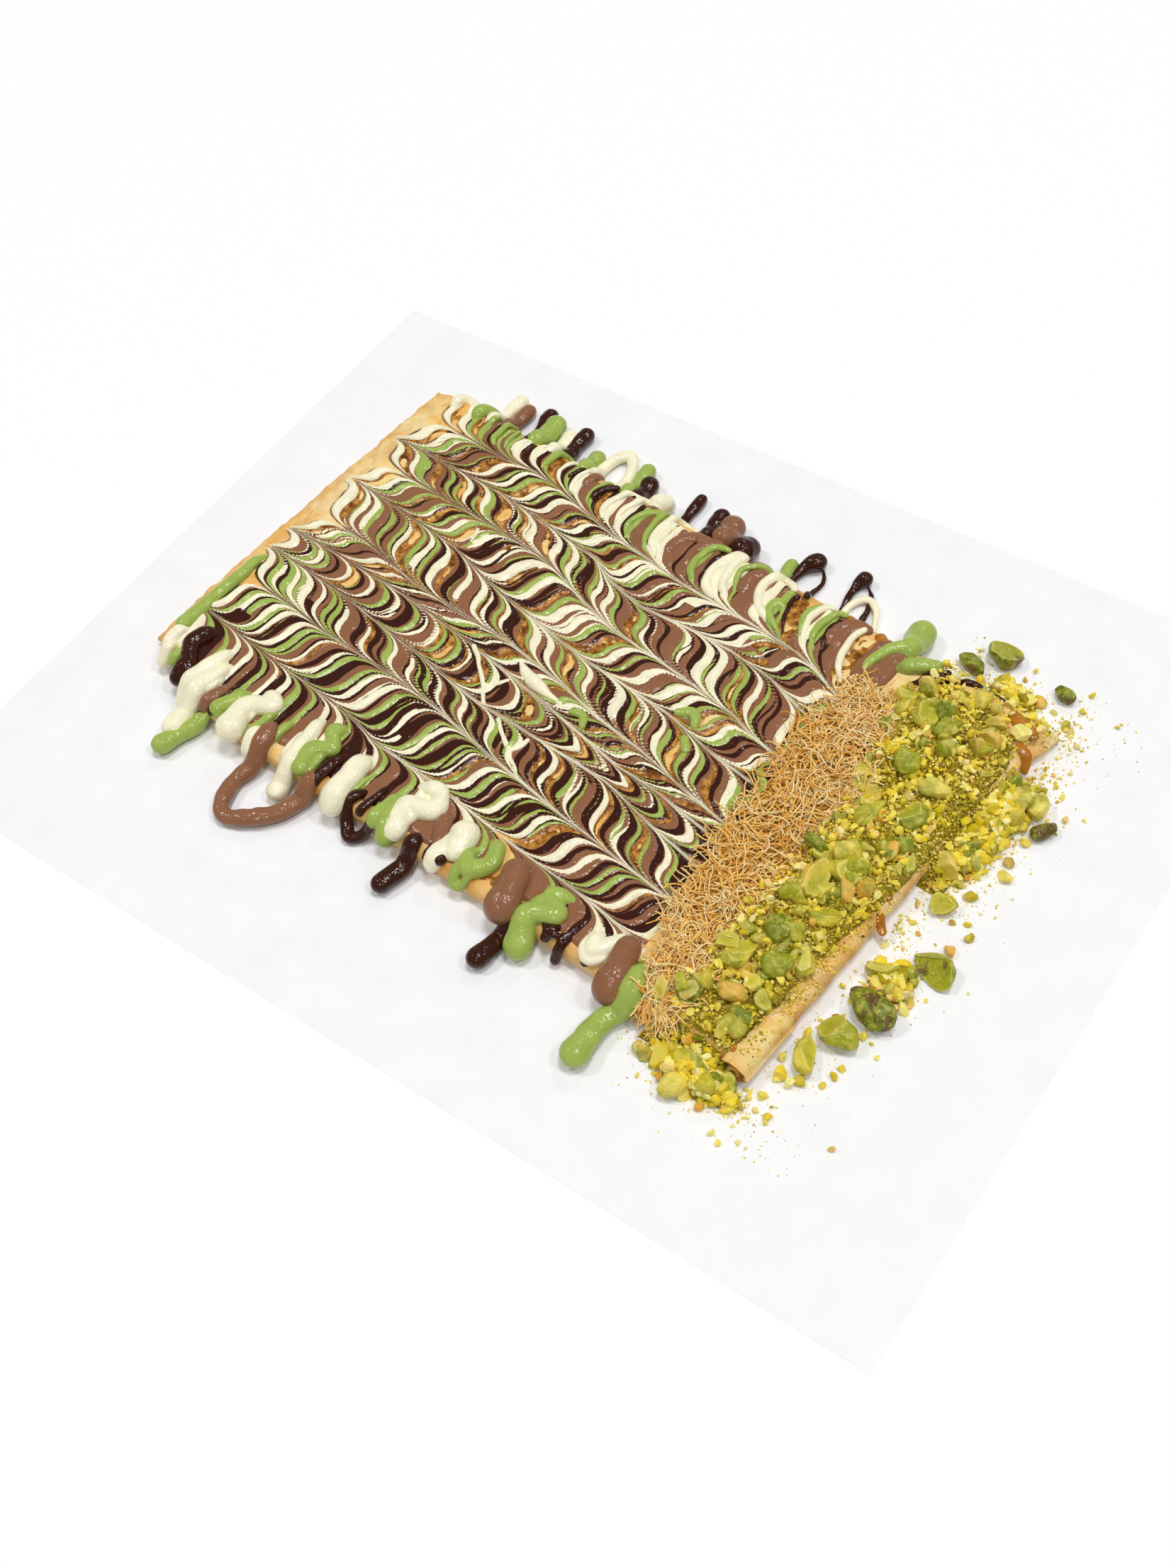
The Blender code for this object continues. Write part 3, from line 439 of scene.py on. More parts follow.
# Comb strokes from the far side to the near: the way each drags (1 right, -1 left) and its path.
COMB_LINES = [
    (1, [(-138, 73.5), (-95, 73), (-80, 74.5), (-65, 73), (-50, 69.5), (-30, 66), (-10, 64), (0, 62.5),
         (20, 62), (60, 60.5), (70, 58), (80, 54), (95, 49)]),
    (-1, [(-138, 57), (-90, 58), (-60, 56), (-40, 54), (-30, 53), (-20, 48), (-10, 46), (0, 44.5),
          (20, 46.5), (40, 47), (60, 45), (80, 39.5), (95, 36)]),
    (1, [(-138, 43.5), (-60, 42.5), (-50, 42), (-40, 40), (-20, 34), (0, 29.5), (20, 28.5), (40, 26.5),
         (60, 24), (70, 21), (95, 16.5)]),
    (-1, [(-138, 29.5), (-110, 28), (-80, 26), (-60, 21), (-40, 17.5), (-20, 15), (0, 12.5), (20, 12),
          (40, 11), (60, 7), (80, 5), (95, 4)]),
    (1, [(-138, 8), (-110, 8), (-100, 6.5), (-80, 3), (-60, 2.5), (-30, 2.5), (0, -1), (20, -5), (40, -7),
         (60, -10.5), (80, -13.5), (95, -15)]),
    (-1, [(-138, -4), (-95, -3.4), (-60, -4.5), (-40, -6.5), (-20, -9), (0, -11.5), (20, -14.5), (40, -17.5),
          (60, -18), (80, -20.5), (95, -22.5)]),
    (-1, [(-138, -16), (-100, -17), (-80, -19.5), (-60, -21), (-40, -23.5), (-20, -25.5), (20, -25),
          (40, -25), (60, -29), (80, -32), (95, -34)]),
    (1, [(-138, -33), (-110, -33), (-90, -35), (-50, -35), (-30, -36.5), (0, -41), (20, -43), (40, -45.5),
         (60, -47), (95, -49.5)]),
    (-1, [(-138, -54), (-100, -56), (-60, -57.5), (-50, -58.5), (-40, -61), (0, -62), (20, -63.5), (40, -65),
          (70, -66), (95, -68.5)]),
]
# Poured lines: sauce (W white, G pistachio, D dark, C bare glazed crepe), half width, and the
# place along the crepe in the gaps between comb strokes, counted 0 at the far side to 9 at the near.
POURS = [
    ("W", 2.4, [(0, -132), (2, -133.5), (4, -133), (7, -134), (9, -133.5)]),
    ("C", 1.6, [(0, -128.5), (2, -129), (4, -128.5), (5, -129)]),
    ("G", 2.7, [(0, -121.5), (1, -119.5), (2, -119.5), (3, -120.5)]),
    ("G", 1.9, [(5, -122.5), (6, -125.5), (7, -128.5), (9, -128)]),
    ("W", 1.6, [(0, -124.5), (2, -124), (4, -124), (7, -126), (8, -126)]),
    ("W", 1.8, [(4, -118.8), (5, -117.5), (6, -119.3), (7, -118), (8, -116.3)]),
    ("G", 1.7, [(6, -122.5), (7, -120.8), (8, -122.2), (9, -117)]),
    ("C", 1.4, [(0, -118), (1, -112), (2, -112.5)]),
    ("G", 1.6, [(0, -114), (1, -114.4)]),
    ("D", 2.8, [(8.6, -123), (9, -123)]),
    ("W", 1.9, [(7, -111.4), (8, -110.9), (9, -112)]),
    ("G", 1.2, [(4, -116.2), (8, -114.3)]),
    ("D", 0.8, [(0, -109.5), (3, -106.3), (4, -106), (6, -110)]),
    ("D", 1.6, [(7.6, -106.5), (8, -107)]),
    ("G", 1.4, [(0, -104), (1, -102.5), (2, -104.5)]),
    ("G", 1.5, [(3, -109.6), (4, -109)]),
    ("W", 1.7, [(0, -94.3), (1, -95), (2, -95.7), (3, -98), (4, -98.5), (5, -101), (6, -103.3), (7, -103.4),
                (8, -101.8), (9, -105.5)]),
    ("G", 1.2, [(0, -98.3), (2, -99.8), (4, -101.5)]),
    ("D", 0.9, [(1, -102.2), (2, -102.5)]),
    ("D", 1.2, [(0, -89.5), (1, -91), (8, -99), (9, -98.6)]),
    ("G", 1.6, [(6, -98.5), (7, -97), (8, -97.6), (9, -96)]),
    ("G", 1.0, [(7, -93.6), (8, -94)]),
    ("C", 1.5, [(1, -100), (4, -94.5), (6, -100.5)]),
    ("G", 1.0, [(1, -88), (3, -91), (4, -91.3)]),
    ("W", 1.6, [(0, -86), (1, -84.6), (2, -85.5), (3, -85.8), (4, -86.8), (6, -91.2), (7, -89.4), (8, -88),
                (9, -89.8)]),
    ("D", 1.2, [(0, -83), (1, -82), (2, -79), (6, -80.5), (7, -80), (8, -82.5), (9, -87)]),
    ("G", 2.4, [(0, -77), (1, -79.3)]),
    ("G", 1.6, [(2, -82.6), (3, -83), (4, -83.4), (6, -83)]),
    ("C", 1.9, [(0, -76), (1, -75.5), (2, -75), (3, -80)]),
    ("W", 1.5, [(0, -71.5), (1, -71.8), (2, -69.8), (3, -72.5), (4, -77.6), (6, -75.8), (7, -75.3), (8, -79),
                (9, -84)]),
    ("G", 1.0, [(3, -75), (4, -72.6)]),
    ("D", 0.8, [(0, -70), (3, -69.8), (4, -69.5), (6, -71.5), (7, -71.5), (8, -70.6)]),
    ("D", 0.5, [(6, -68.6), (7, -67.4)]),
    ("C", 1.2, [(7, -73.4), (7.2, -73.4)]),
    ("G", 1.2, [(0, -67.3), (1, -68.5), (2, -67.3), (4, -67)]),
    ("G", 1.7, [(6, -66), (7, -63.9), (8, -64.8), (9, -69.5)]),
    ("G", 2.0, [(8, -75.3), (9, -77.8)]),
    ("D", 1.3, [(0, -65.2), (2, -65.5), (9, -74)]),
    ("W", 1.8, [(0, -62), (1, -62.4), (2, -59.5), (3, -61.5), (4, -62.7), (6, -61.8), (7, -61), (9, -61.5)]),
    ("C", 1.3, [(2, -63.6), (2.3, -63.6)]),
    ("G", 1.2, [(0, -52.5), (1, -53), (2, -50.5), (3, -56.5), (4, -51)]),
    ("D", 1.3, [(0, -49.8), (1, -51.5), (2, -47.8), (3, -55)]),
    ("C", 1.4, [(0, -47), (1, -49), (2, -52), (3, -47.8), (4, -49.5)]),
    ("D", 1.8, [(4, -46.7), (6, -48.1), (7, -44.4), (8, -43.6), (9, -41.8)]),
    ("D", 2.2, [(9, -42), (9.4, -42)]),
    ("W", 1.9, [(0, -42.3), (1, -44.5), (2, -45.2), (3, -52.3), (4, -53.7), (5, -52.3), (6, -52.8),
                (7, -50.8), (8, -52.8), (9, -54.3)]),
    ("G", 1.5, [(5, -49.3), (6, -50), (7, -47), (8, -46.2), (9, -48.7)]),
    ("D", 1.3, [(0, -45.7), (1, -41.8), (2, -41.7), (3, -45)]),
    ("C", 1.2, [(2, -38.7), (2.3, -38.7), (6, -46)]),
    ("G", 1.5, [(1, -39), (4, -42.5), (5, -41.2), (6, -41.5), (7, -42.3), (8, -41.1)]),
    ("W", 1.8, [(0, -35.2), (1, -35.8), (2, -35.3), (3, -39), (4, -38), (5, -36), (6, -36.8), (7, -36),
                (9, -36.3)]),
    ("G", 1.7, [(0, -29.5), (1, -30), (2, -32.2)]),
    ("D", 1.8, [(2, -28.5), (3, -31), (4, -34), (5, -32), (7, -29.8), (8, -30.5)]),
    ("D", 1.0, [(0, -32.3), (1, -31.8), (6, -39.3), (8, -38.6), (9, -34.7)]),
    ("W", 1.8, [(8.7, -31.8), (9, -31.7)]),
    ("D", 1.3, [(1, -25.8), (2, -25.6)]),
    ("G", 1.3, [(3, -26.4), (4, -25), (5, -22.8), (6, -24), (7, -26.5), (8, -25.3), (9, -28)]),
    ("C", 1.6, [(4, -28.6), (5, -26.8), (6, -27.6)]),
    ("G", 1.1, [(0, -20.6), (1, -20.8), (2, -21.8)]),
    ("W", 1.6, [(0, -17), (1, -17), (2, -18.6), (3, -22.8), (4, -21.6), (6, -20.6), (7, -22.3), (8, -22.8)]),
    ("D", 1.4, [(5, -17), (6, -15), (7, -13.2), (8, -14.5), (9, -19)]),
    ("G", 0.9, [(7, -16.9), (8, -18.8)]),
    ("D", 0.6, [(0, -15), (1, -14.2), (2, -13.9), (8, -20.6)]),
    ("W", 1.8, [(0, -13.2), (1, -11.6), (2, -12.4), (3, -15.8), (4, -14.3), (5, -9.5), (6, -7.7), (7, -7.2),
                (8, -7), (9, -7.5)]),
    ("G", 1.5, [(1, -8.8), (2, -7.8), (3, -8.5), (4, -7.5), (6, -5), (7, -4.8), (8, -3.2)]),
    ("G", 2.2, [(8, -10), (9, -13.8)]),
    ("D", 0.9, [(0, -3.5), (1, -6.8), (2, -6.4), (3, -3.7), (4, -1.8), (5, -2), (6, 0), (7, -1.4),
                (8, -5.2)]),
    ("C", 1.6, [(1, 2.4), (2, 1.5), (3, -0.5), (4, -4), (6, -2.2), (6.3, 2.2)]),
    ("W", 2.6, [(9, -4), (9.4, -4)]),
    ("G", 1.7, [(0, 3.7), (1, 5), (2, 5.2), (3, 2.7), (4, 3), (5, 4.5), (6, 4), (7, 3.6)]),
    ("G", 2.6, [(7.8, 7), (8, 7)]),
    ("W", 1.5, [(1, 10.3), (2, 9), (3, 6.8), (4, 6.8), (5, 8.7), (6, 8.3), (7, 5), (8, 1.8)]),
    ("D", 0.9, [(0, 8.6), (5, 11.8), (6, 10.6), (7, 8.6), (9, 10)]),
    ("W", 3.6, [(0, 14.2), (0.4, 14.2)]),
    ("D", 1.0, [(1, 17.4), (2, 15.8), (3, 16.5), (6, 14.6), (8, 13.6)]),
    ("G", 1.3, [(3, 13.5), (4, 14.3), (5, 17.4), (6, 18.5), (7, 15.8), (8, 16.4)]),
    ("D", 1.4, [(7, 18.2), (6, 20.4), (4, 19)]),
    ("W", 2.0, [(0, 19.5), (1, 24.2), (2, 25.6), (3, 22.3), (4, 23.2), (5, 23.5), (6, 23.6), (7, 22.7),
                (8, 18.3), (9, 16.5)]),
    ("W", 3.2, [(9, 15.5), (9.4, 15.5)]),
    ("G", 0.9, [(0, 23.6), (1, 22.7), (2, 23.7)]),
    ("D", 1.3, [(4, 26), (7, 28.7), (8, 24.2)]),
    ("G", 1.8, [(5, 26.6), (6, 27), (7, 26.3), (8, 21.4), (9, 25)]),
    ("C", 1.4, [(6, 28.6), (7, 25.2)]),
    ("D", 1.2, [(5, 31.5), (6, 30.5), (4, 31.2), (2, 32), (1, 32.3)]),
    ("G", 1.6, [(4, 28.5), (5, 34.6), (6, 33.4), (7, 31.8), (8, 28), (9, 30)]),
    ("G", 1.0, [(3, 31.8), (4, 33)]),
    ("W", 1.9, [(0, 35.7), (1, 34.5), (2, 35.7), (3, 34.2), (4, 36), (5, 38.4), (6, 37.6), (7, 35.7),
                (8, 32.8)]),
    ("G", 0.9, [(2, 38.8), (3, 37), (7, 37.9), (8, 35.7)]),
    ("D", 0.7, [(1, 37.2), (2, 39.8), (3, 39.5)]),
    ("C", 1.9, [(8, 39.7), (9, 34.6)]),
    ("W", 1.9, [(1, 40.2), (2, 42.3), (3, 42), (4, 43), (5, 47.3), (6, 47.7), (7, 47.5), (8, 48.5)]),
    ("G", 2.5, [(0, 41.5), (0.4, 42.5)]),
    ("G", 1.9, [(0, 45.5), (1, 48.6), (2, 50.4), (3, 47.6), (4, 46.8)]),
    ("D", 1.2, [(0, 47.9), (1, 52), (2, 46.3), (3, 45), (4, 49.8), (6, 44.2), (7, 43.6), (8, 43.4)]),
    ("C", 1.7, [(0, 51.5), (1, 46), (1.2, 54), (4, 51.5), (7, 51.2)]),
    ("G", 1.6, [(2, 53.5), (3, 55), (4, 55.6), (5, 56.8), (6, 56.8), (7, 57)]),
    ("D", 1.0, [(2, 56.2), (3, 59), (4, 58.8), (6, 53.2), (7, 53.1), (8, 52)]),
    ("W", 1.3, [(0, 58), (1, 59.3), (2, 60), (3, 61.2), (4, 61.2), (6, 61.6), (7, 59.5), (8, 56.8)]),
    ("G", 2.9, [(9, 57.3), (9.4, 57)]),
    ("D", 1.2, [(1, 61.7), (2, 65), (3, 67.3), (7, 61), (8, 62.6), (9, 63)]),
    ("G", 1.7, [(0, 61.8), (1, 65.2), (3, 63.8), (4, 64.4), (6, 65.2), (7, 64.6), (8, 65.8)]),
    ("G", 1.6, [(7, 70.6), (8, 70.2)]),
    ("C", 1.3, [(4, 70.5), (7, 68.3)]),
    ("D", 1.0, [(0, 66.8), (1, 70), (2, 70.8), (3, 70.4), (4, 73), (5, 74), (6, 75), (7, 76.5), (8, 75.6),
                (9, 72.5)]),
    ("W", 1.9, [(0, 78), (1, 77.6), (2, 77.7), (3, 77.6), (4, 79), (5, 79.6), (6, 78.8), (7, 79.8), (8, 79),
                (9, 79)]),
    ("W", 1.6, [(9, 86.5), (9.4, 87.5)]),
    ("G", 1.6, [(1, 83.3), (2, 82.3), (3, 80.9), (4, 81.6), (7, 83.5)]),
    ("D", 1.4, [(1, 87), (3, 86), (6, 86.5), (7, 86.2), (9, 83.5)]),
    ("D", 1.6, [(1, 91), (3, 90.5), (5, 91), (7, 90), (8, 91.5)]),
    ("W", 2.0, [(8, 94.5), (9, 95)]),
    ("C", 2.6, [(-0.6, 47), (-0.2, 48.5), (0, 49)]),
    ("C", 3.0, [(-0.6, 76.5), (-0.2, 77.5), (0, 78.5)]),
]
HAIRLINES = 150
SAUCE_SPAN = (-137.0, 94.0)
SAUCE_DEPTH = 0.9
BAND_WIDTH = 14.0
# How high each sauce stands over the combed layer, and how deep the bare glazed places lie.
RIDGE = {"M": 0.4, "W": 1.15, "G": 0.95, "D": 0.25, "C": -0.9}
SAUCE_COLOURS = {"W": "#FBF4D2", "G": "#A2B755", "M": "#916244", "D": "#381405"}


def sauce_shader(tree, shader, colour):
    """The finish that the sauces share: set fat and sugar, opaque, smooth and glossy.

    Swells 3.3 mm and 1.1 mm wide break its gloss into small glints, as on hardened drips.
    """
    at = add_node(tree, "TexCoord", "Object")
    broad = add_node(tree, "TexNoise", "Fac", {
        "Vector": at, "Scale": 1000.0 / 3.33, "Detail": 2.0, "Roughness": 0.5})
    small = add_node(tree, "TexNoise", "Fac", {
        "Vector": at, "Scale": 1000.0 / 1.11, "Detail": 2.0, "Roughness": 0.5})
    swell = add_node(tree, "Math", "Value", {"Value": small, "Value_001": 0.32, "Value_002": broad},
                     {"operation": "MULTIPLY_ADD"})
    skin = add_node(tree, "Bump", "Normal", {"Height": swell, "Distance": 0.0007, "Strength": 0.72})
    tree.links.new(colour, shader.inputs["Base Color"])
    tree.links.new(skin, shader.inputs["Normal"])
    shader.inputs["Roughness"].default_value = 0.1
    shader.inputs["Specular IOR Level"].default_value = 0.38


def mottled(tree, code, amount=0.06):
    """A sauce colour that varies a little in lightness, in clouds 5.6 mm wide."""
    at = add_node(tree, "TexCoord", "Object")
    clouds = add_node(tree, "TexNoise", "Fac", {
        "Vector": at, "Scale": 1000.0 / 5.56, "Detail": 3.0, "Roughness": 0.5})
    lightness = add_node(tree, "MapRange", "Result", {
        "Value": clouds, "From Min": 0.3, "From Max": 0.7, "To Min": 1.0 - amount, "To Max": 1.0 + amount})
    return add_node(tree, "HueSaturation", "Color", {"Color": hex_colour(code), "Value": lightness})


# White chocolate, pistachio cream, milk and dark chocolate side by side, and glazed crepe between
# them. It gives milk brown as the ground with clean-edged lines in the others' colours, amber glaze
# in drops 3 mm wide, and pale threads along the comb strokes.
marbled, tree, shader = new_material("marbled_chocolate_and_pistachio_sauces")
at = add_node(tree, "TexCoord", "Object")
colour = mottled(tree, SAUCE_COLOURS["M"])
for letter in "CDGW":
    depth = add_node(tree, "Attribute", "Fac", settings={"attribute_name": "in_" + letter})
    share = add_node(tree, "MapRange", "Result", {"Value": depth, "From Min": -0.07, "From Max": 0.07})
    if letter == "C":
        drops = add_node(tree, "TexNoise", "Fac", {
            "Vector": at, "Scale": 1000.0 / 3.03, "Detail": 5.0, "Roughness": 0.65})
        poured = add_node(tree, "ValToRGB", "Color", {"Fac": drops}, stops=[
            (0.34, "#4A2606"), (0.48, "#9A5F18"), (0.62, "#D39A48")])
    else:
        poured = mottled(tree, SAUCE_COLOURS[letter])
    colour = add_node(tree, "Mix", "Result_Color", {
        "Factor_Float": share, "A_Color": colour, "B_Color": poured}, {"data_type": "RGBA"})
streak = add_node(tree, "Attribute", "Fac", settings={"attribute_name": "streak"})
streaked = add_node(tree, "ValToRGB", "Color", {"Fac": streak}, stops=[
    (0.2, "#5E3A24"), (0.38, "#9A7A5C"), (0.52, "#D8CCAE"), (0.66, "#F2EAD0"), (0.8, "#A8B074")])
thread = add_node(tree, "Attribute", "Fac", settings={"attribute_name": "thread"})
colour = add_node(tree, "Mix", "Result_Color", {
    "Factor_Float": thread, "A_Color": colour, "B_Color": streaked}, {"data_type": "RGBA"})
sauce_shader(tree, shader, colour)

line_paths = [np.array(path, float) for _, path in COMB_LINES]
line_drags = [drag for drag, _ in COMB_LINES]


def comb_line(k, u):
    """Where comb stroke k runs across the crepe, at places u along it."""
    return np.interp(u, line_paths[k][:, 0], line_paths[k][:, 1])


def band_place(u, v):
    """0 in the gap beyond the far comb stroke, 1 in the next gap, up to 9 beyond the near one."""
    lines = [comb_line(k, u) for k in range(9)]
    place = 0.5 - (v - lines[0]) / BAND_WIDTH
    for k in range(8):
        between = 0.5 + k + (lines[k] - v) / (lines[k] - lines[k + 1])
        place = np.where(v < lines[k], between, place)
    return np.where(v < lines[8], 8.5 + (lines[8] - v) / 16.0, place)


def combed(u, v):
    """Where a point of the surface lay before the combing, and how far it is from a stroke."""
    lines = [comb_line(k, u) for k in range(9)]
    shift = np.zeros_like(u)
    closest = np.full_like(u, 99.0)
    for k in range(9):
        away = np.abs(v - lines[k])
        closest = np.where(away < np.abs(closest), v - lines[k], closest)
        up = 7.5 if k == 0 else 0.5 * np.abs(lines[k - 1] - lines[k])
        down = 8.0 if k == 8 else 0.5 * np.abs(lines[k] - lines[k + 1])
        room = np.where(v > lines[k], up, down)
        fade = np.clip(1.0 - away / room, 0.0, 1.0)
        # A sharp drag close to the stroke, and a weak one out to the middle of the band.
        pull = 14.0 * np.exp(-away / 1.3) + 2.0 * fade ** 1.6
        shift += line_drags[k] * pull * smoothstep(fade * 3.0)
    return u - shift, closest


def paint(fields, letter, depth):
    """Lays one sauce over the others where depth is positive."""
    fields[letter] = np.maximum(fields[letter], depth)
    for other in fields:
        if other != letter:
            fields[other] = np.minimum(fields[other], -depth)


def fine_veins():
    """Short hairlines of sauce inside one band each, where drops were drawn out by the comb."""
    draw = np.random.default_rng(33)
    veins = []
    for _ in range(HAIRLINES):
        band, u = int(draw.integers(1, 9)), draw.uniform(-128.0, 92.0)
        letter = "DGWC"[int(draw.choice(4, p=[0.36, 0.2, 0.22, 0.22]))]
        half = draw.uniform(0.28, 0.6) * (1.5 if letter == "C" else 1.0)
        veins.append((letter, half, [(band - 0.2, u), (band + 0.2, u + draw.normal(0, 0.9))]))
    return veins


def pour_fields(u0, place, wobble):
    """For each sauce, how far inside its lines a point lies, in mm before the combing."""
    fields = {letter: np.full_like(u0, -4.0) for letter in "WGDC"}
    fields["M"] = np.full_like(u0, 3.0)
    for number, (letter, half, path) in enumerate(POURS + fine_veins()):
        table = np.array(sorted(path), float)
        at = np.interp(place, table[:, 0], table[:, 1])
        before = (place - table[0, 0] + 0.5) * BAND_WIDTH if table[0, 0] > 0 else 9.0
        beyond = (table[-1, 0] + 0.5 - place) * BAND_WIDTH if table[-1, 0] < 9 else 9.0
        reach = np.minimum(before, beyond)
        nearer, righter = smoothstep((place - 4.5) / 2.0), smoothstep((at + 10.0) / 40.0)
        breadth = {"W": 1.06 - 0.24 * nearer, "G": 0.86 - 0.26 * righter, "D": 1.0 + 0.28 * nearer,
                   "C": 1.35}[letter]
        width = half * breadth * (1.0 + 0.22 * np.sin(place * 2.3 + 1.7 * number))
        across = u0 + wobble - at
        if letter in "WG" and half > 0.6:
            # A fringe of dark chocolate shows along one side of the pale lines.
            side = 1.0 if number % 3 else -1.0
            fringe = (0.28 + 0.2 * nearer) * (0.7 + np.sin(place * 1.9 + 2.1 * number))
            paint(fields, "D", np.minimum(width + fringe - np.abs(across - side * fringe), reach))
        paint(fields, letter, np.minimum(width - np.abs(across), reach))
    return fields


def sauce_rim(u, v, u0):
    """Distance inside the sauce's own border."""
    near = v - (follow(NEAR_EDGE, u) + 5.5 + 2.5 * wander(u0, u0 * 0, 9.0, 61, 2))
    far = follow(FAR_EDGE, u) - 3.0 + 1.8 * wander(u0, u0 * 0, 8.0, 71, 2) - v
    left = u0 - SAUCE_SPAN[0] + 1.6 * wander(v, v * 0, 7.0, 81, 2)
    right = SAUCE_SPAN[1] - u
    return np.minimum(np.minimum(near, far), np.minimum(left, right))


def row_paths(us):
    """Rows of v over the columns, crowded near the comb strokes."""
    steps = np.array([0.0, 0.14, 0.3, 0.5, 0.75, 1.05, 1.4, 1.85, 2.5, 3.3, 4.3, 5.5, 7.0]) / 8.4
    lines = [comb_line(k, us) for k in range(9)]
    paths = []
    for share in np.linspace(0.0, 1.0, 34) ** 1.8:
        paths.append(lines[8] + (follow(NEAR_EDGE, us) + 1.2 - lines[8]) * share)
    paths.reverse()
    for k in range(8, 0, -1):
        gap = lines[k - 1] - lines[k]
        for step in steps[1:]:
            paths.append(lines[k] + 0.5 * gap * step)
        paths.append(lines[k] + 0.5 * gap)
        for step in steps[:0:-1]:
            paths.append(lines[k - 1] - 0.5 * gap * step)
        paths.append(lines[k - 1])
    for share in (np.linspace(0.0, 1.0, 34) ** 1.8)[1:]:
        paths.append(lines[0] + (follow(FAR_EDGE, us) - 0.6 - lines[0]) * share)
    return np.array(paths)


us = np.arange(-143.0, 95.6, 0.64)
v = row_paths(us)
u = np.broadcast_to(us, v.shape).copy()
u0, across_line = combed(u, v)
to_line = np.abs(across_line)
place = band_place(u, v)
wobble = 0.9 * wander(u, v, 9.0, 51, 3)
fields = pour_fields(u0, place, wobble)
rim = sauce_rim(u, v, u0)
ridge = np.zeros_like(u)
for letter, height in RIDGE.items():
    ridge += height * (1.0 - (1.0 - np.clip(fields[letter] / 1.4, 0.0, 1.0)) ** 2)
ridge *= 1.0 - np.exp(-to_line / 0.9)
groove = 0.35 * np.exp(-(to_line / 0.8) ** 2)
swell = 0.3 * wander(u, v, 16.0, 91, 2) + 0.22 * wander(u, v, 2.6, 93, 2)
thickness = (SAUCE_DEPTH + ridge + swell - groove) * quarter_round(rim / 2.4)
z = crepe_height(u, v) + np.where(rim > 0.0, thickness, 0.0) - 0.9 * smoothstep(-rim / 1.5) - 0.12
rows, columns = u.shape
faces = grid_faces(rows, columns)
kept = (rim.ravel()[faces] > -1.2).any(1)
faces = faces[kept]
used, faces = np.unique(faces, return_inverse=True)
numbers = {"in_" + letter: fields[letter].ravel()[used] for letter in "CDGW"}
numbers["thread"] = (0.9 * np.exp(-(to_line / 0.62) ** 4)).ravel()[used]
numbers["streak"] = (0.5 + 0.5 * wander(u, across_line * 75.0 + 900.0, 26.0, 95)).ravel()[used]
verts = to_frame(np.stack([u, v, z], -1)).reshape(-1, 3)[used]
make_piece("marbled_sauces", verts, faces.reshape(-1, 4), marbled, numbers,
           node="crepe")


# Drips and loops
# Thick drops, ropes and loops of the same four sauces that ran over both long sides and set
# on the crepe's side and on the paper. Each is a rounded rope with a fuller end.

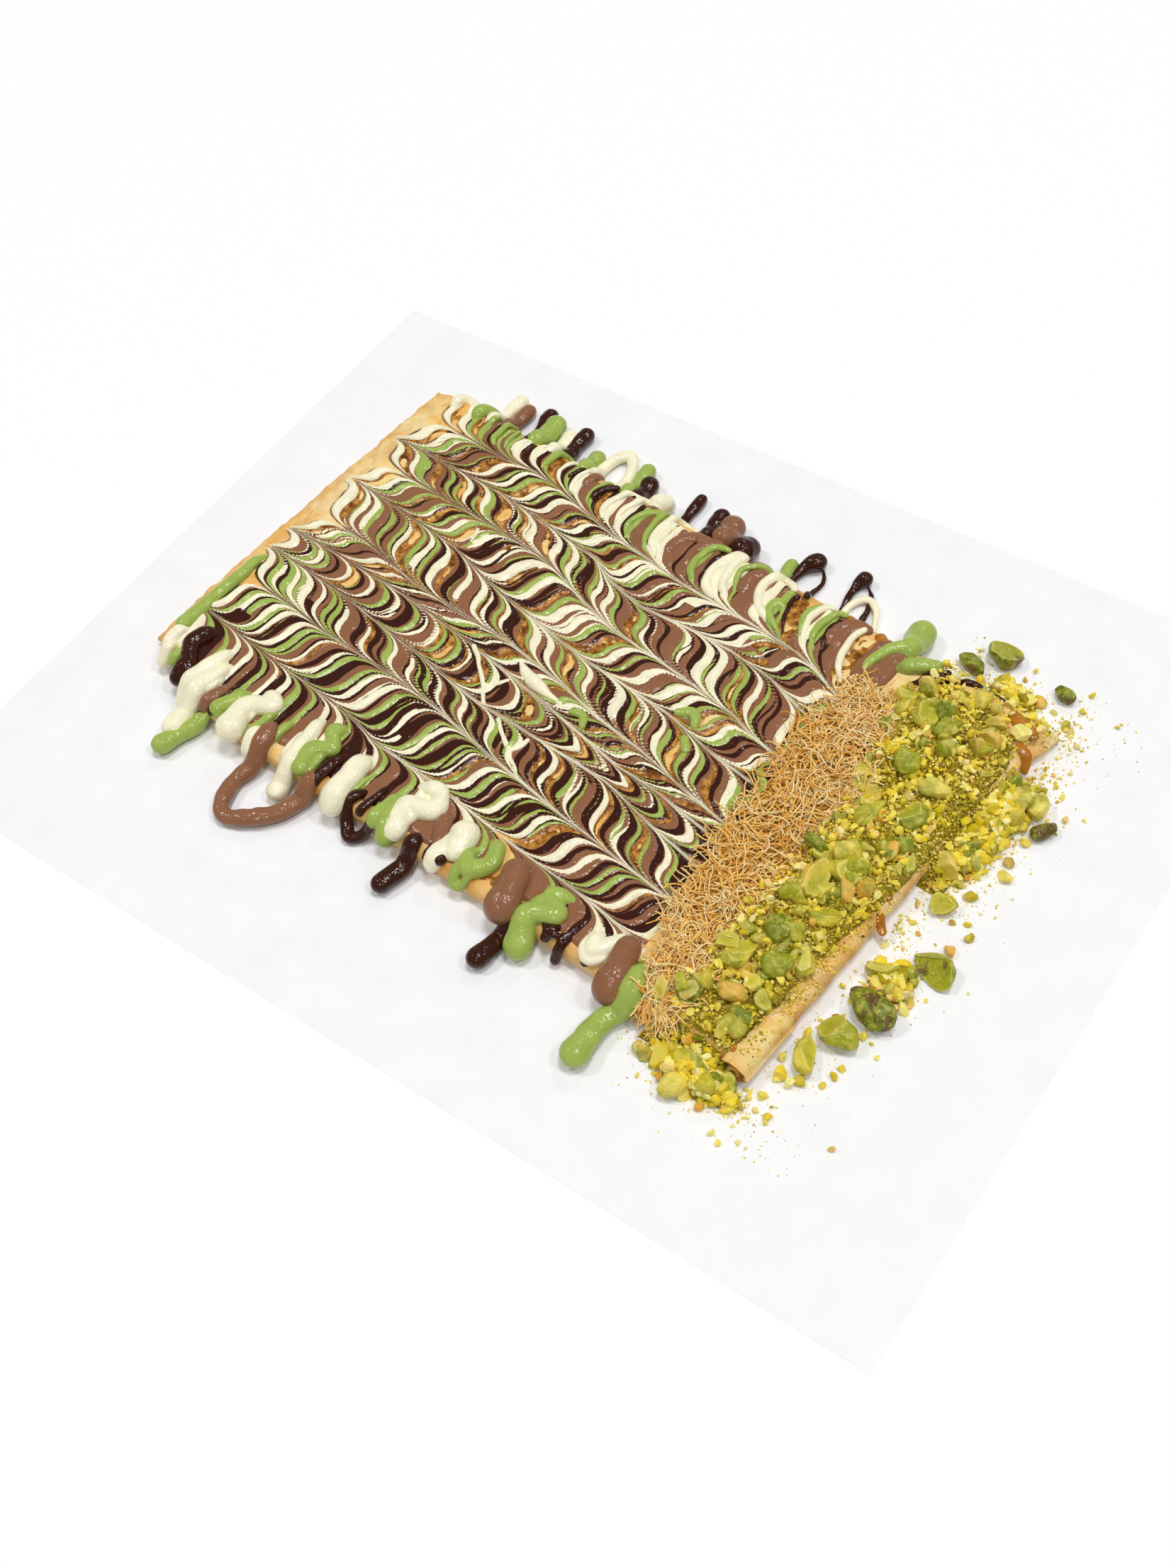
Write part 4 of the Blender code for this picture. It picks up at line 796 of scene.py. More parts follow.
# The sauce (M is milk chocolate) and the path of each: along, across and radius.
DRIPS = [
    ("G", [(-139, -18, 2.4), (-139, -45, 2.8), (-138, -64, 3.6)]),
    ("W", [(-135, -61, 4.0), (-137, -71, 2.6), (-136, -78, 2.0)]),
    ("D", [(-124, -57, 4.0), (-128, -69, 3.6), (-120, -79, 3.0), (-118, -85, 2.5)]),
    ("W", [(-112, -60, 3.0), (-115, -78, 3.4), (-115, -88, 3.5)]),
    ("W", [(-107, -65, 3.0), (-110, -82, 4.0), (-109, -99, 4.6)]),
    ("G", [(-100, -84, 3.0), (-104, -96, 3.6), (-107, -107, 4.0)]),
    ("M", [(-100, -72, 3.0), (-103, -87, 2.6)]),
    ("G", [(-90, -70, 3.0), (-97, -85, 3.0)]),
    ("W", [(-90, -68, 3.2), (-80, -72, 3.8), (-88, -78, 4.2), (-86, -88, 5.8)]),
    ("W", [(-78, -78, 3.2), (-75, -90, 3.4)]),
    ("M", [(-75, -75, 3.6), (-71, -90, 4.0), (-72, -102, 3.2), (-69, -111, 3.2), (-62, -114, 3.2),
           (-50, -104, 3.6), (-46, -92, 3.6), (-44, -80, 3.0)]),
    ("W", [(-61, -62, 3.0), (-58, -80, 3.0), (-56, -96, 4.0)]),
    ("G", [(-47, -62, 2.8), (-53, -67, 3.2), (-48, -73, 3.4), (-54, -78, 3.4), (-51, -85, 4.0)]),
    ("W", [(-35, -65, 4.0), (-32, -89, 5.2)]),
    ("D", [(-24, -76, 2.4), (-27, -87, 2.4), (-21, -94, 2.5), (-15, -86, 2.4), (-14, -79, 2.4)]),
    ("G", [(-13, -70, 2.6), (-11, -79, 3.0), (-7, -88, 4.0)]),
    ("W", [(-13, -66, 3.2), (-3, -64, 3.6), (1, -71, 4.2), (-8, -75, 4.0), (-5, -85, 4.2)]),
    ("D", [(3, -78, 3.4), (4, -90, 3.4), (3, -101, 4.0)]),
    ("M", [(4, -66, 3.0), (8, -74, 3.4), (12, -80, 2.6)]),
    ("D", [(9, -72, 2.2), (12, -79, 2.6), (16, -84, 3.2)]),
    ("W", [(12, -66, 4.4), (17, -72, 5.6), (19, -78, 4.4)]),
    ("G", [(23, -67, 2.8), (30, -69, 3.2), (32, -76, 3.4), (27, -81, 3.6), (23, -76, 3.0), (26, -71, 2.4)]),
    ("M", [(37, -66, 3.4), (43, -75, 5.2), (46, -86, 6.0)]),
    ("D", [(52, -80, 3.0), (51, -90, 3.6), (50, -103, 4.0)]),
    ("G", [(67, -68, 2.8), (57, -72, 3.2), (64, -77, 3.6), (56, -82, 4.0), (58, -92, 5.0)]),
    ("D", [(68, -76, 2.2), (65, -85, 2.0)]),
    ("D", [(73, -78, 2.2), (71, -88, 2.0)]),
    ("W", [(80, -70, 3.0), (82, -80, 3.6), (88, -72, 3.0)]),
    ("M", [(88, -66, 3.6), (92, -74, 5.2), (95, -87, 5.6)]),
    ("G", [(97, -72, 3.0), (102, -84, 4.6), (99, -96, 4.4), (100, -110, 5.0)]),
    ("W", [(-116, 84, 3.0), (-117, 96, 2.8), (-117, 106, 3.4)]),
    ("M", [(-110, 86, 3.0), (-111, 104, 3.4)]),
    ("D", [(-97, 86, 2.2), (-101, 107, 3.6)]),
    ("G", [(-92, 84, 3.6), (-95, 103, 5.0)]),
    ("W", [(-84, 84, 3.0), (-86, 101, 3.6)]),
    ("D", [(-79, 86, 2.6), (-82, 106, 4.0)]),
    ("G", [(-67, 84, 3.0), (-69, 99, 3.6)]),
    ("W", [(-62, 84, 2.6), (-64, 101, 2.6), (-59, 108, 2.6), (-53, 100, 2.6), (-50, 86, 2.6)]),
    ("G", [(-44, 84, 3.0), (-48, 105, 3.6)]),
    ("D", [(-39, 84, 3.0), (-42, 99, 4.0)]),
    ("W", [(-29, 84, 4.0), (-30, 94, 4.6)]),
    ("D", [(-19, 86, 2.0), (-21, 106, 2.5)]),
    ("D", [(-5, 84, 3.0), (-8, 102, 4.0)]),
    ("M", [(3, 84, 4.0), (0, 99, 5.8)]),
    ("D", [(11, 84, 4.0), (11, 94, 5.0)]),
    ("G", [(31, 84, 2.6), (29, 98, 3.0)]),
    ("D", [(33.5, 88, 1.6), (33.1, 94.7, 1.8), (33.6, 100, 2.6), (35, 103, 3.8), (36.3, 104.6, 4.0)]),
    ("D", [(37.1, 104.7, 1.6), (39.5, 103.8, 1.1), (42.8, 99.4, 0.9), (43.1, 95.8, 1.0), (43, 91.5, 1.3),
           (47, 84, 1.6)]),
    ("D", [(56, 89, 1.3), (55.9, 96, 1.4), (54.7, 101.5, 1.6), (54.5, 105.7, 2.5), (55.5, 107.5, 3.2)]),
    ("D", [(56.4, 108.2, 1.6), (59, 106.3, 1.0), (62.2, 102.4, 1.1), (65, 97, 1.2), (66, 93, 1.5)]),
    ("W", [(59.5, 84, 1.3), (58.2, 94, 1.5), (60.2, 99.7, 1.7), (63, 101.7, 1.7), (67.1, 99.1, 1.6),
           (70.5, 94, 1.4), (74.5, 86, 1.1)]),
    ("G", [(93, 80, 4.0), (89, 97, 5.4)]),
    ("G", [(91, 74, 2.8), (98, 79.5, 3.4), (105, 84, 2.6)]),
    ("D", [(101, 73, 2.6), (106, 77.5, 3.4), (110, 80, 2.8)]),
    ("D", [(104, 81, 1.8), (109, 83, 2.2)]),
    ("D", [(112, 82, 1.6), (118, 85, 1.4), (124, 86, 1.0), (131, 87.4, 1.3)]),
]
# The ropes that turn over the far shoulder, as the photo shows them beyond the far comb stroke.
FAR_ROPES = [
    ("M", [(-6.7, 67.6, 2.2), (-10.4, 73.3, 2.6), (-9.5, 79.7, 2.6), (-5.3, 83.9, 2.4), (-0.9, 85, 2)]),
    ("M", [(2.1, 66.1, 1.8), (-0.8, 70.6, 2), (-1.5, 77.9, 2.1), (0.4, 83.2, 2), (4.4, 84.8, 1.6)]),
    ("M", [(30.1, 68.8, 2.6), (25.5, 73, 3.3), (24.6, 79.7, 3.4), (26.7, 83.5, 2.6)]),
    ("M", [(18.5, 82.8, 1.8), (19.7, 88.6, 2.1), (24.8, 88.9, 2)]),
    ("M", [(67.2, 66.5, 2.2), (65.3, 73.7, 2.5), (66.2, 79.9, 2.6), (69.9, 83.6, 2.5), (74.3, 83.9, 2)]),
    ("M", [(72.5, 65.8, 2.2), (69.1, 72.1, 2.4), (69.3, 79.5, 2.2), (71.6, 82.5, 1.8)]),
    ("M", [(83.6, 74.7, 1.6), (82.9, 79.4, 1.8), (85, 83.2, 1.8)]),
    ("M", [(-57.4, 75.4, 1.6), (-59.6, 78.8, 1.9), (-59.3, 84.1, 1.9), (-57.4, 88.5, 1.6)]),
    ("M", [(-24.4, 71.6, 1.6), (-24.1, 77.4, 1.7), (-23, 83.2, 1.5)]),
    ("M", [(-31.9, 83, 1.4), (-31.1, 86.5, 1.5), (-26.9, 85.6, 1.4)]),
    ("D", [(11.6, 67.3, 1.2), (8.2, 72.6, 1.3), (7.8, 78.8, 1.4), (10.6, 82.5, 1.3)]),
    ("D", [(50, 64.2, 0.8), (45.6, 72.9, 0.9), (43.8, 78.8, 1), (44.5, 81.8, 1.1)]),
    ("D", [(67.5, 64.1, 1), (64.6, 69.2, 1), (63, 76, 1.1), (64.3, 80.7, 1)]),
    ("D", [(-64.4, 75.7, 0.8), (-67.2, 79, 0.9), (-66.1, 84, 0.9), (-63.9, 89.8, 0.8), (-61, 91, 0.8)]),
    ("D", [(-49, 72.7, 1.2), (-51.8, 77.5, 1.4), (-51.1, 82.2, 1.4), (-47.2, 86.2, 1.2)]),
    ("G", [(-28.6, 76.6, 1.2), (-28.1, 81.6, 1.2), (-25.2, 85.4, 1.1)]),
    ("G", [(-15.6, 66.5, 1), (-20.4, 71.5, 1.2), (-22.6, 77.8, 1.2), (-22.9, 83.8, 1.2), (-22.2, 88.6, 1)]),
    ("G", [(9.2, 63.7, 1.2), (4.4, 67.6, 1.5), (1.9, 73.7, 1.6), (2.9, 80.2, 1.5), (5, 83.9, 1.4),
           (9.4, 84.9, 1.2)]),
    ("G", [(24.4, 68.8, 1.1), (20.5, 75.5, 1.2), (20, 80.9, 1.2), (22.8, 84.6, 1.2), (26.5, 87.6, 1.2),
           (29.6, 88.3, 1)]),
    ("G", [(50.1, 63.2, 1), (43.6, 66.7, 1.6), (40, 70.9, 1.8), (39.9, 75, 1.8), (43.2, 74, 1.7),
           (44.2, 69.7, 1.4)]),
    ("G", [(55.9, 64.8, 1), (54.2, 70.6, 1.1), (52, 76.6, 1.2), (52.7, 80.4, 1.1), (53.9, 82.4, 0.9)]),
    ("G", [(64.4, 64.7, 1), (61, 68.4, 1.3), (59.3, 74.2, 1.4), (60.2, 79.8, 1.4), (61.7, 83.4, 1.3),
           (64.6, 84.3, 1.1)]),
    ("G", [(84.2, 65.5, 1.6), (84.5, 73.7, 1.9), (85.9, 79.9, 2.1), (88.7, 83.9, 2.4)]),
    ("G", [(-96.7, 76.2, 0.9), (-99.3, 77.8, 1), (-100.6, 82.2, 1), (-100.2, 87.2, 0.9)]),
    ("G", [(-101.5, 74.6, 0.9), (-106.3, 78.2, 1.2), (-106.6, 82, 1.3), (-107, 87.7, 1.2),
           (-106.5, 91, 1.4)]),
    ("G", [(-77.2, 76.2, 1.2), (-79.9, 78, 1.4), (-79.7, 82.3, 1.5), (-79, 87.6, 1.5), (-77.4, 91, 1.4),
           (-74.5, 91, 1.1)]),
    ("G", [(-27.7, 67.8, 1), (-31, 72.7, 1.2), (-30.8, 76.9, 1.2), (-28.9, 81.7, 1.2), (-25.2, 85, 1)]),
    ("G", [(-49.9, 72.2, 0.8), (-53.1, 75.1, 0.8), (-54.2, 80.2, 0.8), (-52.4, 84.7, 0.9),
           (-50.2, 87.3, 0.8)]),
    ("W", [(-11.9, 65.9, 1), (-17.3, 70.9, 1.3), (-19.2, 77.3, 1.4), (-18.8, 83.4, 1.5),
           (-18.1, 88.1, 1.5), (-15, 90.1, 1.4), (-8.7, 88, 1.1)]),
    ("W", [(-9.5, 67.6, 0.9), (-14, 72, 1), (-15.8, 78.8, 1.1), (-15.8, 82.6, 1.1)]),
    ("W", [(21.6, 63, 1.4), (13.6, 65.8, 1.9), (10.8, 72, 2), (11.3, 79.1, 2.1), (13.5, 84.4, 2.1),
           (15.2, 87, 1.8)]),
    ("W", [(24.4, 65, 1.4), (18.4, 70, 1.8), (15.3, 77.4, 1.9), (15.3, 83.1, 1.8), (16.3, 85.6, 1.6)]),
    ("W", [(45.2, 64.2, 1.2), (38.3, 67.6, 1.6), (33.5, 72.1, 1.8), (30.9, 78.9, 1.8),
           (31.7, 84.6, 1.8), (33.8, 88.5, 1.7), (39.5, 85.9, 1.6), (42, 83.8, 1.4)]),
    ("W", [(60, 64, 1.1), (57.3, 68.2, 1.2), (54.7, 74.7, 1.3), (55.3, 80.6, 1.3), (57.1, 84.1, 1.3),
           (58.8, 84.3, 1.2)]),
    ("W", [(80.6, 58.5, 1.2), (75.9, 63.9, 1.4), (73.3, 71, 1.4), (72.3, 78.1, 1.4), (74, 82.6, 1.2)]),
    ("W", [(-93.3, 76.5, 0.9), (-96.2, 78.2, 1), (-95.6, 82.2, 1), (-93.5, 85.3, 0.9)]),
    ("W", [(-84, 76.2, 0.9), (-86.4, 78.9, 0.9), (-87.2, 83.6, 1), (-86, 86.9, 0.9), (-84.1, 88.5, 0.8)]),
    ("W", [(-69.8, 77.2, 0.8), (-72.2, 79.1, 0.9), (-71.9, 82.6, 0.9), (-70, 86.8, 0.9),
           (-68.2, 90.7, 0.8)]),
    ("W", [(-58.6, 73.8, 0.9), (-62.2, 75.6, 1), (-63.7, 79.7, 1.1), (-62.9, 84.4, 1.1), (-61.2, 89, 1)]),
    ("W", [(-39.2, 69.7, 1.1), (-43.4, 72.4, 1.4), (-44.5, 77.5, 1.5), (-42.9, 82.7, 1.5),
           (-40.5, 87.7, 1.4), (-36.7, 87.9, 1.2)]),
    ("W", [(-34.5, 69.5, 1.1), (-36.7, 73, 1.3), (-37.2, 78.4, 1.4), (-35.7, 82.8, 1.4), (-35, 88, 1.5)]),
]
ROPE_FLATNESS = 0.85
SAUCE_NAMES = {"W": "white_chocolate", "G": "pistachio_cream", "M": "milk_chocolate", "D": "dark_chocolate"}


def drape_height(u, v, radius):
    """Height of the middle of a rope that lies over the crepe and down its side."""
    outside = np.maximum(follow(NEAR_EDGE, u) - v, v - follow(FAR_EDGE, u))
    on_top = body_top(u) + SAUCE_DEPTH + 0.2 * radius
    on_paper = GAP + 0.1 + ROPE_FLATNESS * radius
    return on_top + (on_paper - on_top) * smoothstep((outside + 3.5) / (radius + 6.0))


def curve_through(points, step):
    """A smooth curve through points, resampled about every step mm."""
    points = np.asarray(points, float)
    padded = np.concatenate([2 * points[:1] - points[1:2], points, 2 * points[-1:] - points[-2:-1]])
    made = []
    for k in range(len(points) - 1):
        a, b, c, d = padded[k:k + 4]
        count = max(2, int(np.linalg.norm((c - b)[:2]) / step))
        t = np.linspace(0.0, 1.0, count, endpoint=False)[:, None]
        made.append(0.5 * (2 * b + (c - a) * t + (2 * a - 5 * b + 4 * c - d) * t ** 2
                           + (3 * b - a - 3 * c + d) * t ** 3))
    return np.concatenate(made + [points[-1:]])


def tube(path, radii, sides, flatness=1.0, start=0):
    """A closed tube along a path, as vertices and quads, both ends drawn in to a point."""
    along = np.gradient(path, axis=0)
    along /= np.linalg.norm(along, axis=1, keepdims=True)
    across = np.cross(along, [0.0, 0.0, 1.0])
    across /= np.maximum(np.linalg.norm(across, axis=1, keepdims=True), 1e-6)
    upward = np.cross(across, along)
    angle = 2 * math.pi * np.arange(sides) / sides
    ring = across[:, None] * np.cos(angle)[None, :, None]
    ring = ring + upward[:, None] * np.sin(angle)[None, :, None] * flatness
    verts = (path[:, None] + ring * radii[:, None, None]).reshape(-1, 3)
    count = len(path)
    first = np.arange(count - 1)[:, None] * sides + np.arange(sides)[None, :]
    second = np.arange(count - 1)[:, None] * sides + (np.arange(sides)[None, :] + 1) % sides
    faces = np.stack([first, first + sides, second + sides, second], -1).reshape(-1, 4)
    return verts, faces + start


def rounded_ends(path, radii):
    """Extends a tube by a dome at each end, as places and radii."""
    out_path, out_radii = [], []
    turn = np.radians([0, 20, 42, 64, 82])
    start, end = path[0] - path[1], path[-1] - path[-2]
    start, end = start / np.linalg.norm(start), end / np.linalg.norm(end)
    for angle in turn:
        out_path.append(path[0] + start * radii[0] * math.cos(angle))
        out_radii.append(radii[0] * math.sin(angle))
    out_path += list(path)
    out_radii += list(radii)
    for angle in turn[::-1]:
        out_path.append(path[-1] + end * radii[-1] * math.cos(angle))
        out_radii.append(radii[-1] * math.sin(angle))
    return np.array(out_path), np.array(out_radii)


def side_lobes():
    """Ropes that carry the poured lines over both shoulders; close pairs turn round into a loop."""
    draw = np.random.default_rng(9)
    lobes = []
    for band, edge, inward in ((9, NEAR_EDGE, 1.0), (0, FAR_EDGE, -1.0)):
        for letter in "DGW":
            ends = sorted((dict(path)[band], half) for kind, half, path in POURS
                          if kind == letter and half >= 0.9 and band in dict(path))
            while ends:
                u, half = ends.pop(0)
                if band == 0 and u > -112.0:
                    continue
                lean = draw.uniform(-2.5, 0.8)
                stop = float(follow(edge, u)) + inward * draw.uniform(-1.0, 3.5)
                start = -69.0 if band == 9 else float(comb_line(0, u)) + 6.0
                rope = [(u, start, half), (u + 0.7 * lean, stop + inward * 3.0, 1.1 * half)]
                if ends and ends[0][0] - u < 11.0:
                    other, second = ends.pop(0)
                    rope += [(0.5 * (u + other) + lean, stop, 0.6 * (half + second)),
                             (other + 0.7 * lean, stop + inward * 3.0, 1.1 * second), (other, start, second)]
                else:
                    rope.append((u + lean, stop - inward * 1.5, 1.3 * half))
                lobes.append((letter, rope))
    return lobes


# Thin lines that fell on the combed layer last and were not combed.
LATE_DRIZZLE = [
    ("W", [(-39, -7, 1.2), (-31, -12.5, 1.0), (-24, -17.5, 1.1), (-17.5, -24.5, 1.0)]),
    ("W", [(-17, -11, 1.0), (-20, -15.5, 1.0), (-23, -18.5, 1.0)]),
    ("W", [(-8.5, -27, 1.1), (-3, -31, 1.0), (3, -34.5, 1.2), (8, -38.5, 1.0), (15, -42, 0.8)]),
    ("W", [(6.5, -28, 1.0), (6.5, -32, 1.1), (4, -35, 1.0)]),
    ("W", [(-19, -2.5, 1.0), (-14, -5, 2.2), (-8, -7, 3.0), (-1, -8, 1.8), (5, -8.6, 1.0)]),
    ("G", [(11, -9, 1.6), (16, -8, 1.8), (19, -11, 1.4)]),
    ("G", [(43, 14, 1.8), (47, 16, 2.4), (51, 12, 1.6)]),
    ("G", [(52, 6, 1.8), (55, 2, 1.8)]),
    ("W", [(-78, 38, 0.9), (-75.5, 31, 0.9), (-72.5, 38, 0.9)]),
    ("G", [(82, 10, 1.6), (88, 4, 1.8), (86, -3, 1.4)]),
]
for letter, name in SAUCE_NAMES.items():
    # Each drip is one set sauce, in the same colour and gloss as in the combed layer.
    finish, tree, shader = new_material(name)
    sauce_shader(tree, shader, mottled(tree, SAUCE_COLOURS[letter]))
    verts, faces, total = [], [], 0
    for number, (kind, points) in enumerate(DRIPS + FAR_ROPES + side_lobes() + LATE_DRIZZLE):
        if kind != letter:
            continue
        late = points in [line for _, line in LATE_DRIZZLE]
        path = curve_through(points, 0.7)
        run = np.concatenate([[0.0], np.cumsum(np.linalg.norm(np.diff(path[:, :2], axis=0), axis=1))])
        wave = 1.0 + 0.15 * wander(run + 40.0 * number, run * 0, 6.0, 171, 2)
        returns = len(points) > 4 and abs(points[0][1] - points[-1][1]) < 12.0
        left = run[-1] - run if returns else np.full_like(run, 9.0)
        taper = smoothstep((np.minimum(run, left) + 0.5) / 8.0) if not late else np.ones_like(run)
        over_shoulder = points in [line for _, line in FAR_ROPES]
        radii = np.maximum(path[:, 2], 0.8) * wave * (0.5 + 0.5 * taper) * (1.15 if over_shoulder else 1.0)
        height = drape_height(path[:, 0], path[:, 1], radii) - 1.5 * radii * (1.0 - taper)
        if over_shoulder:
            layer = {"M": -0.5, "D": -0.1, "G": 0.35, "W": 0.4}[kind]
            height = height + layer - 0.8 * np.clip(radii - 1.5, 0.0, 3.0)
        sway = 0.5 * wander(run + 23.0 * number, run * 0, 7.0, 175, 2)
        path = np.stack([path[:, 0] + sway, path[:, 1] + sway, height - (0.35 if late else 0.0)], -1)
        path, radii = rounded_ends(path, radii)
        made, quads = tube(path, radii, 16, ROPE_FLATNESS, total)
        verts.append(made)
        faces.append(quads)
        total += len(made)
    verts = np.concatenate(verts)
    verts[:, 2] = np.maximum(verts[:, 2], 0.05)
    make_piece(name + "_drips", to_frame(verts), np.concatenate(faces), finish,
               node="crepe", merge=0.5)


# Caramel
# Amber caramel that ran out of the folded crepe at its right end and set in small glossy pools
# and drops on the rim and in the far pocket.

CARAMEL = [
    [(138, 82, 2.4), (143, 80, 3.2), (148, 78.5, 2.4)],
    [(147, 72, 1.8), (151, 70, 2.2), (152.5, 67, 1.6)],
    [(148.5, -12, 1.6), (150.5, -14, 1.8), (151.5, -15, 1.6)],
    [(141, -3, 1.6), (147, -5, 1.6)],
    [(140.5, -79, 1.2), (142, -83, 1.4)],
    [(66, 84, 2.6), (72, 82, 3.0)],
    [(80, 84, 2.4), (84, 82, 2.0)],
]
CARAMEL_FLATNESS = 0.42

# Boiled sugar: as glossy as the sauces, and mottled more strongly, which makes it look clear.
caramel_amber, tree, shader = new_material("caramel_amber")
sauce_shader(tree, shader, mottled(tree, "#B0701C", 0.2))
verts, faces, total = [], [], 0
for points in CARAMEL:
    path = curve_through(points, 0.7)
    radii = path[:, 2].copy()
    path[:, 2] = crepe_height(path[:, 0], path[:, 1]) + 0.15
    made, quads = tube(*rounded_ends(path, radii), 14, CARAMEL_FLATNESS, total)
    verts.append(made)
    faces.append(quads)
    total += len(made)
make_piece("caramel_drops", to_frame(np.concatenate(verts)), np.concatenate(faces), caramel_amber,
           node="crepe", merge=0.5)


# Kataifi
# A band of fried kataifi, fine crisp wheat threads, laid across the crepe between the sauces and
# the nuts. The threads are a little under a millimetre thick, tangled, straw to golden brown.

KATAIFI_LEFT = [(-82, 107), (-68, 104), (-52, 94), (-25, 88), (0, 86), (40, 83), (60, 86)]
TOPPING_SEAM = [(-82, 112), (-60, 117), (-40, 114), (-20, 116.5), (0, 116.5), (20, 115),
                (40, 110), (60, 101.5), (68, 104), (80, 116)]
HEAP_FLOOR = 9.55
KATAIFI_DEPTH = 4.6
THREADS = 2000
THREAD_POINTS = 12

# Threads of wheat dough, fried dry and crisp. They give straw to golden brown, each thread in a
# shade of its own, with a soft sheen and a faint grain 0.4 mm wide.
kataifi_gold, tree, shader = new_material("fried_kataifi_gold")
at = add_node(tree, "TexCoord", "Object")
shade = add_node(tree, "Attribute", "Fac", settings={"attribute_name": "shade"})
straw = add_node(tree, "ValToRGB", "Color", {"Fac": shade}, stops=[
    (0.0, "#F0A840"), (0.22, "#FFC75E"), (0.48, "#FFDF90"), (0.78, "#FFEDB8"), (1.0, "#FFC070")])
crumbly = add_node(tree, "TexNoise", "Fac", {
    "Vector": at, "Scale": 1000.0 / 0.4, "Detail": 3.0, "Roughness": 0.55})
grain = add_node(tree, "Bump", "Normal", {"Height": crumbly, "Distance": 0.0001, "Strength": 0.5})
tree.links.new(straw, shader.inputs["Base Color"])
tree.links.new(grain, shader.inputs["Normal"])
shader.inputs["Roughness"].default_value = 0.4
shader.inputs["Specular IOR Level"].default_value = 0.12

draw = np.random.default_rng(12)


def strand(u, v, heading, length, draw):
    """A crisp thread as points: curled in plan, with ends that stand up or dip."""
    t = np.linspace(-0.5, 0.5, THREAD_POINTS)
    turn = heading + draw.normal(0, 2.2) * t + 0.5 * np.sin(draw.uniform(4, 11) * t + draw.uniform(0, 6))
    pitch = draw.normal(0, 0.32) + draw.normal(0, 0.9) * t
    step = length / (THREAD_POINTS - 1)
    du, dv = np.cumsum(np.cos(turn) * np.cos(pitch)) * step, np.cumsum(np.sin(turn) * np.cos(pitch)) * step
    dz = np.cumsum(np.sin(pitch)) * step
    return np.stack([u + du - du.mean(), v + dv - dv.mean(), dz - dz.mean()], -1)


verts, faces, shade_values, total = [], [], [], 0
for _ in range(THREADS):
    v = draw.uniform(-86, 61)
    left, right = follow(KATAIFI_LEFT, v), follow(TOPPING_SEAM, v)
    u = draw.uniform(left - 1.0, right + 4.5)
    if v < -80.0:
        u = draw.uniform(105.5, 119.0)
    path = strand(u, v, draw.uniform(0, 2 * math.pi), draw.uniform(9, 23), draw)
    share = min(max((u - left) / max(right - left, 1.0), 0.0), 1.0)
    mound = 0.5 + 0.5 * math.sin(math.pi * min(max(share, 0.04), 0.9))
    level = HEAP_FLOOR + KATAIFI_DEPTH * mound * draw.uniform(0.25, 1.2) + 1.6 * wander(u, v, 9.0, 101, 2)
    path[:, 2] = np.clip(path[:, 2] + level, HEAP_FLOOR + 0.2, HEAP_FLOOR + 7.0)
    path[:, 2] -= 0.9 * np.clip(-81.5 - path[:, 1], 0.0, 9.0)
    radius = draw.uniform(0.23, 0.38)
    made, quads = tube(path, radius * np.linspace(1.0, 0.7, THREAD_POINTS), 4, 1.0, total)
    verts.append(made)
    faces.append(quads)
    shade = np.clip(0.5 + 0.25 * wander(u, v, 24.0, 104, 1) + draw.normal(0, 0.24), 0, 1)
    shade_values.append(np.full(len(made), shade))
    total += len(made)
make_piece("kataifi_threads", to_frame(np.concatenate(verts)), np.concatenate(faces), kataifi_gold,
           {"shade": np.concatenate(shade_values)}, node="kataifi")


# Kataifi bed
# The imported threads below the loose ones, pressed on the crepe by their own weight. They are seen
# only in the gaps between the loose threads, as a dark golden ground of painted shade.

# The same fried wheat, darkened with painted shade. It gives a mottle of gold and brown in dabs
# 1.4 mm wide, about two threads across, and a rough bump of the same kind, 0.8 mm wide.
bed_gold, tree, shader = new_material("kataifi_bed_shadow_gold")
at = add_node(tree, "TexCoord", "Object")
gaps = add_node(tree, "TexNoise", "Fac", {
    "Vector": at, "Scale": 1000.0 / 1.43, "Detail": 4.0, "Roughness": 0.7})
# Painted shade: the bed's gold runs down to dark brown, as the shade in the gaps between threads.
painted_shade_gold = add_node(tree, "ValToRGB", "Color", {"Fac": gaps}, stops=[
    (0.35, "#62400F"), (0.5, "#AC7A2A"), (0.65, "#E6B454")])
threads = add_node(tree, "TexNoise", "Fac", {
    "Vector": at, "Scale": 1000.0 / 0.833, "Detail": 3.0, "Roughness": 0.7})
grain = add_node(tree, "Bump", "Normal", {"Height": threads, "Distance": 0.0008, "Strength": 0.8})
tree.links.new(painted_shade_gold, shader.inputs["Base Color"])
tree.links.new(grain, shader.inputs["Normal"])
shader.inputs["Roughness"].default_value = 0.7
shader.inputs["Specular IOR Level"].default_value = 0.1

sv = np.linspace(-80.5, 59.0, 120)
sh = np.linspace(0.0, 1.0, 26)
gv, gs = np.meshgrid(sv, sh, indexing="ij")
left = follow(KATAIFI_LEFT, gv) + 1.5 + 1.2 * wander(gv, gv * 0, 7.0, 111, 2)
gu = left + (follow(TOPPING_SEAM, gv) - 0.15 - left) * gs
end = np.minimum(gv + 80.5, 59.0 - gv)
mound = quarter_round(np.minimum(gs * 20.0, end) / 3.0)
gz = HEAP_FLOOR - 0.6 + (KATAIFI_DEPTH - 1.0 + 1.1 * wander(gu, gv, 6.0, 115)) * mound
verts = to_frame(np.stack([gu, gv, gz], -1)).reshape(-1, 3)
make_piece("kataifi_bed", verts, grid_faces(*gu.shape), bed_gold,
           node="kataifi")


# Crushed pistachio
# Pistachios crushed from flour to half kernels, heaped over the right end of the crepe and
# spilled onto the paper on three sides. The flour fills a low mound; crumbs and pieces lie on it.

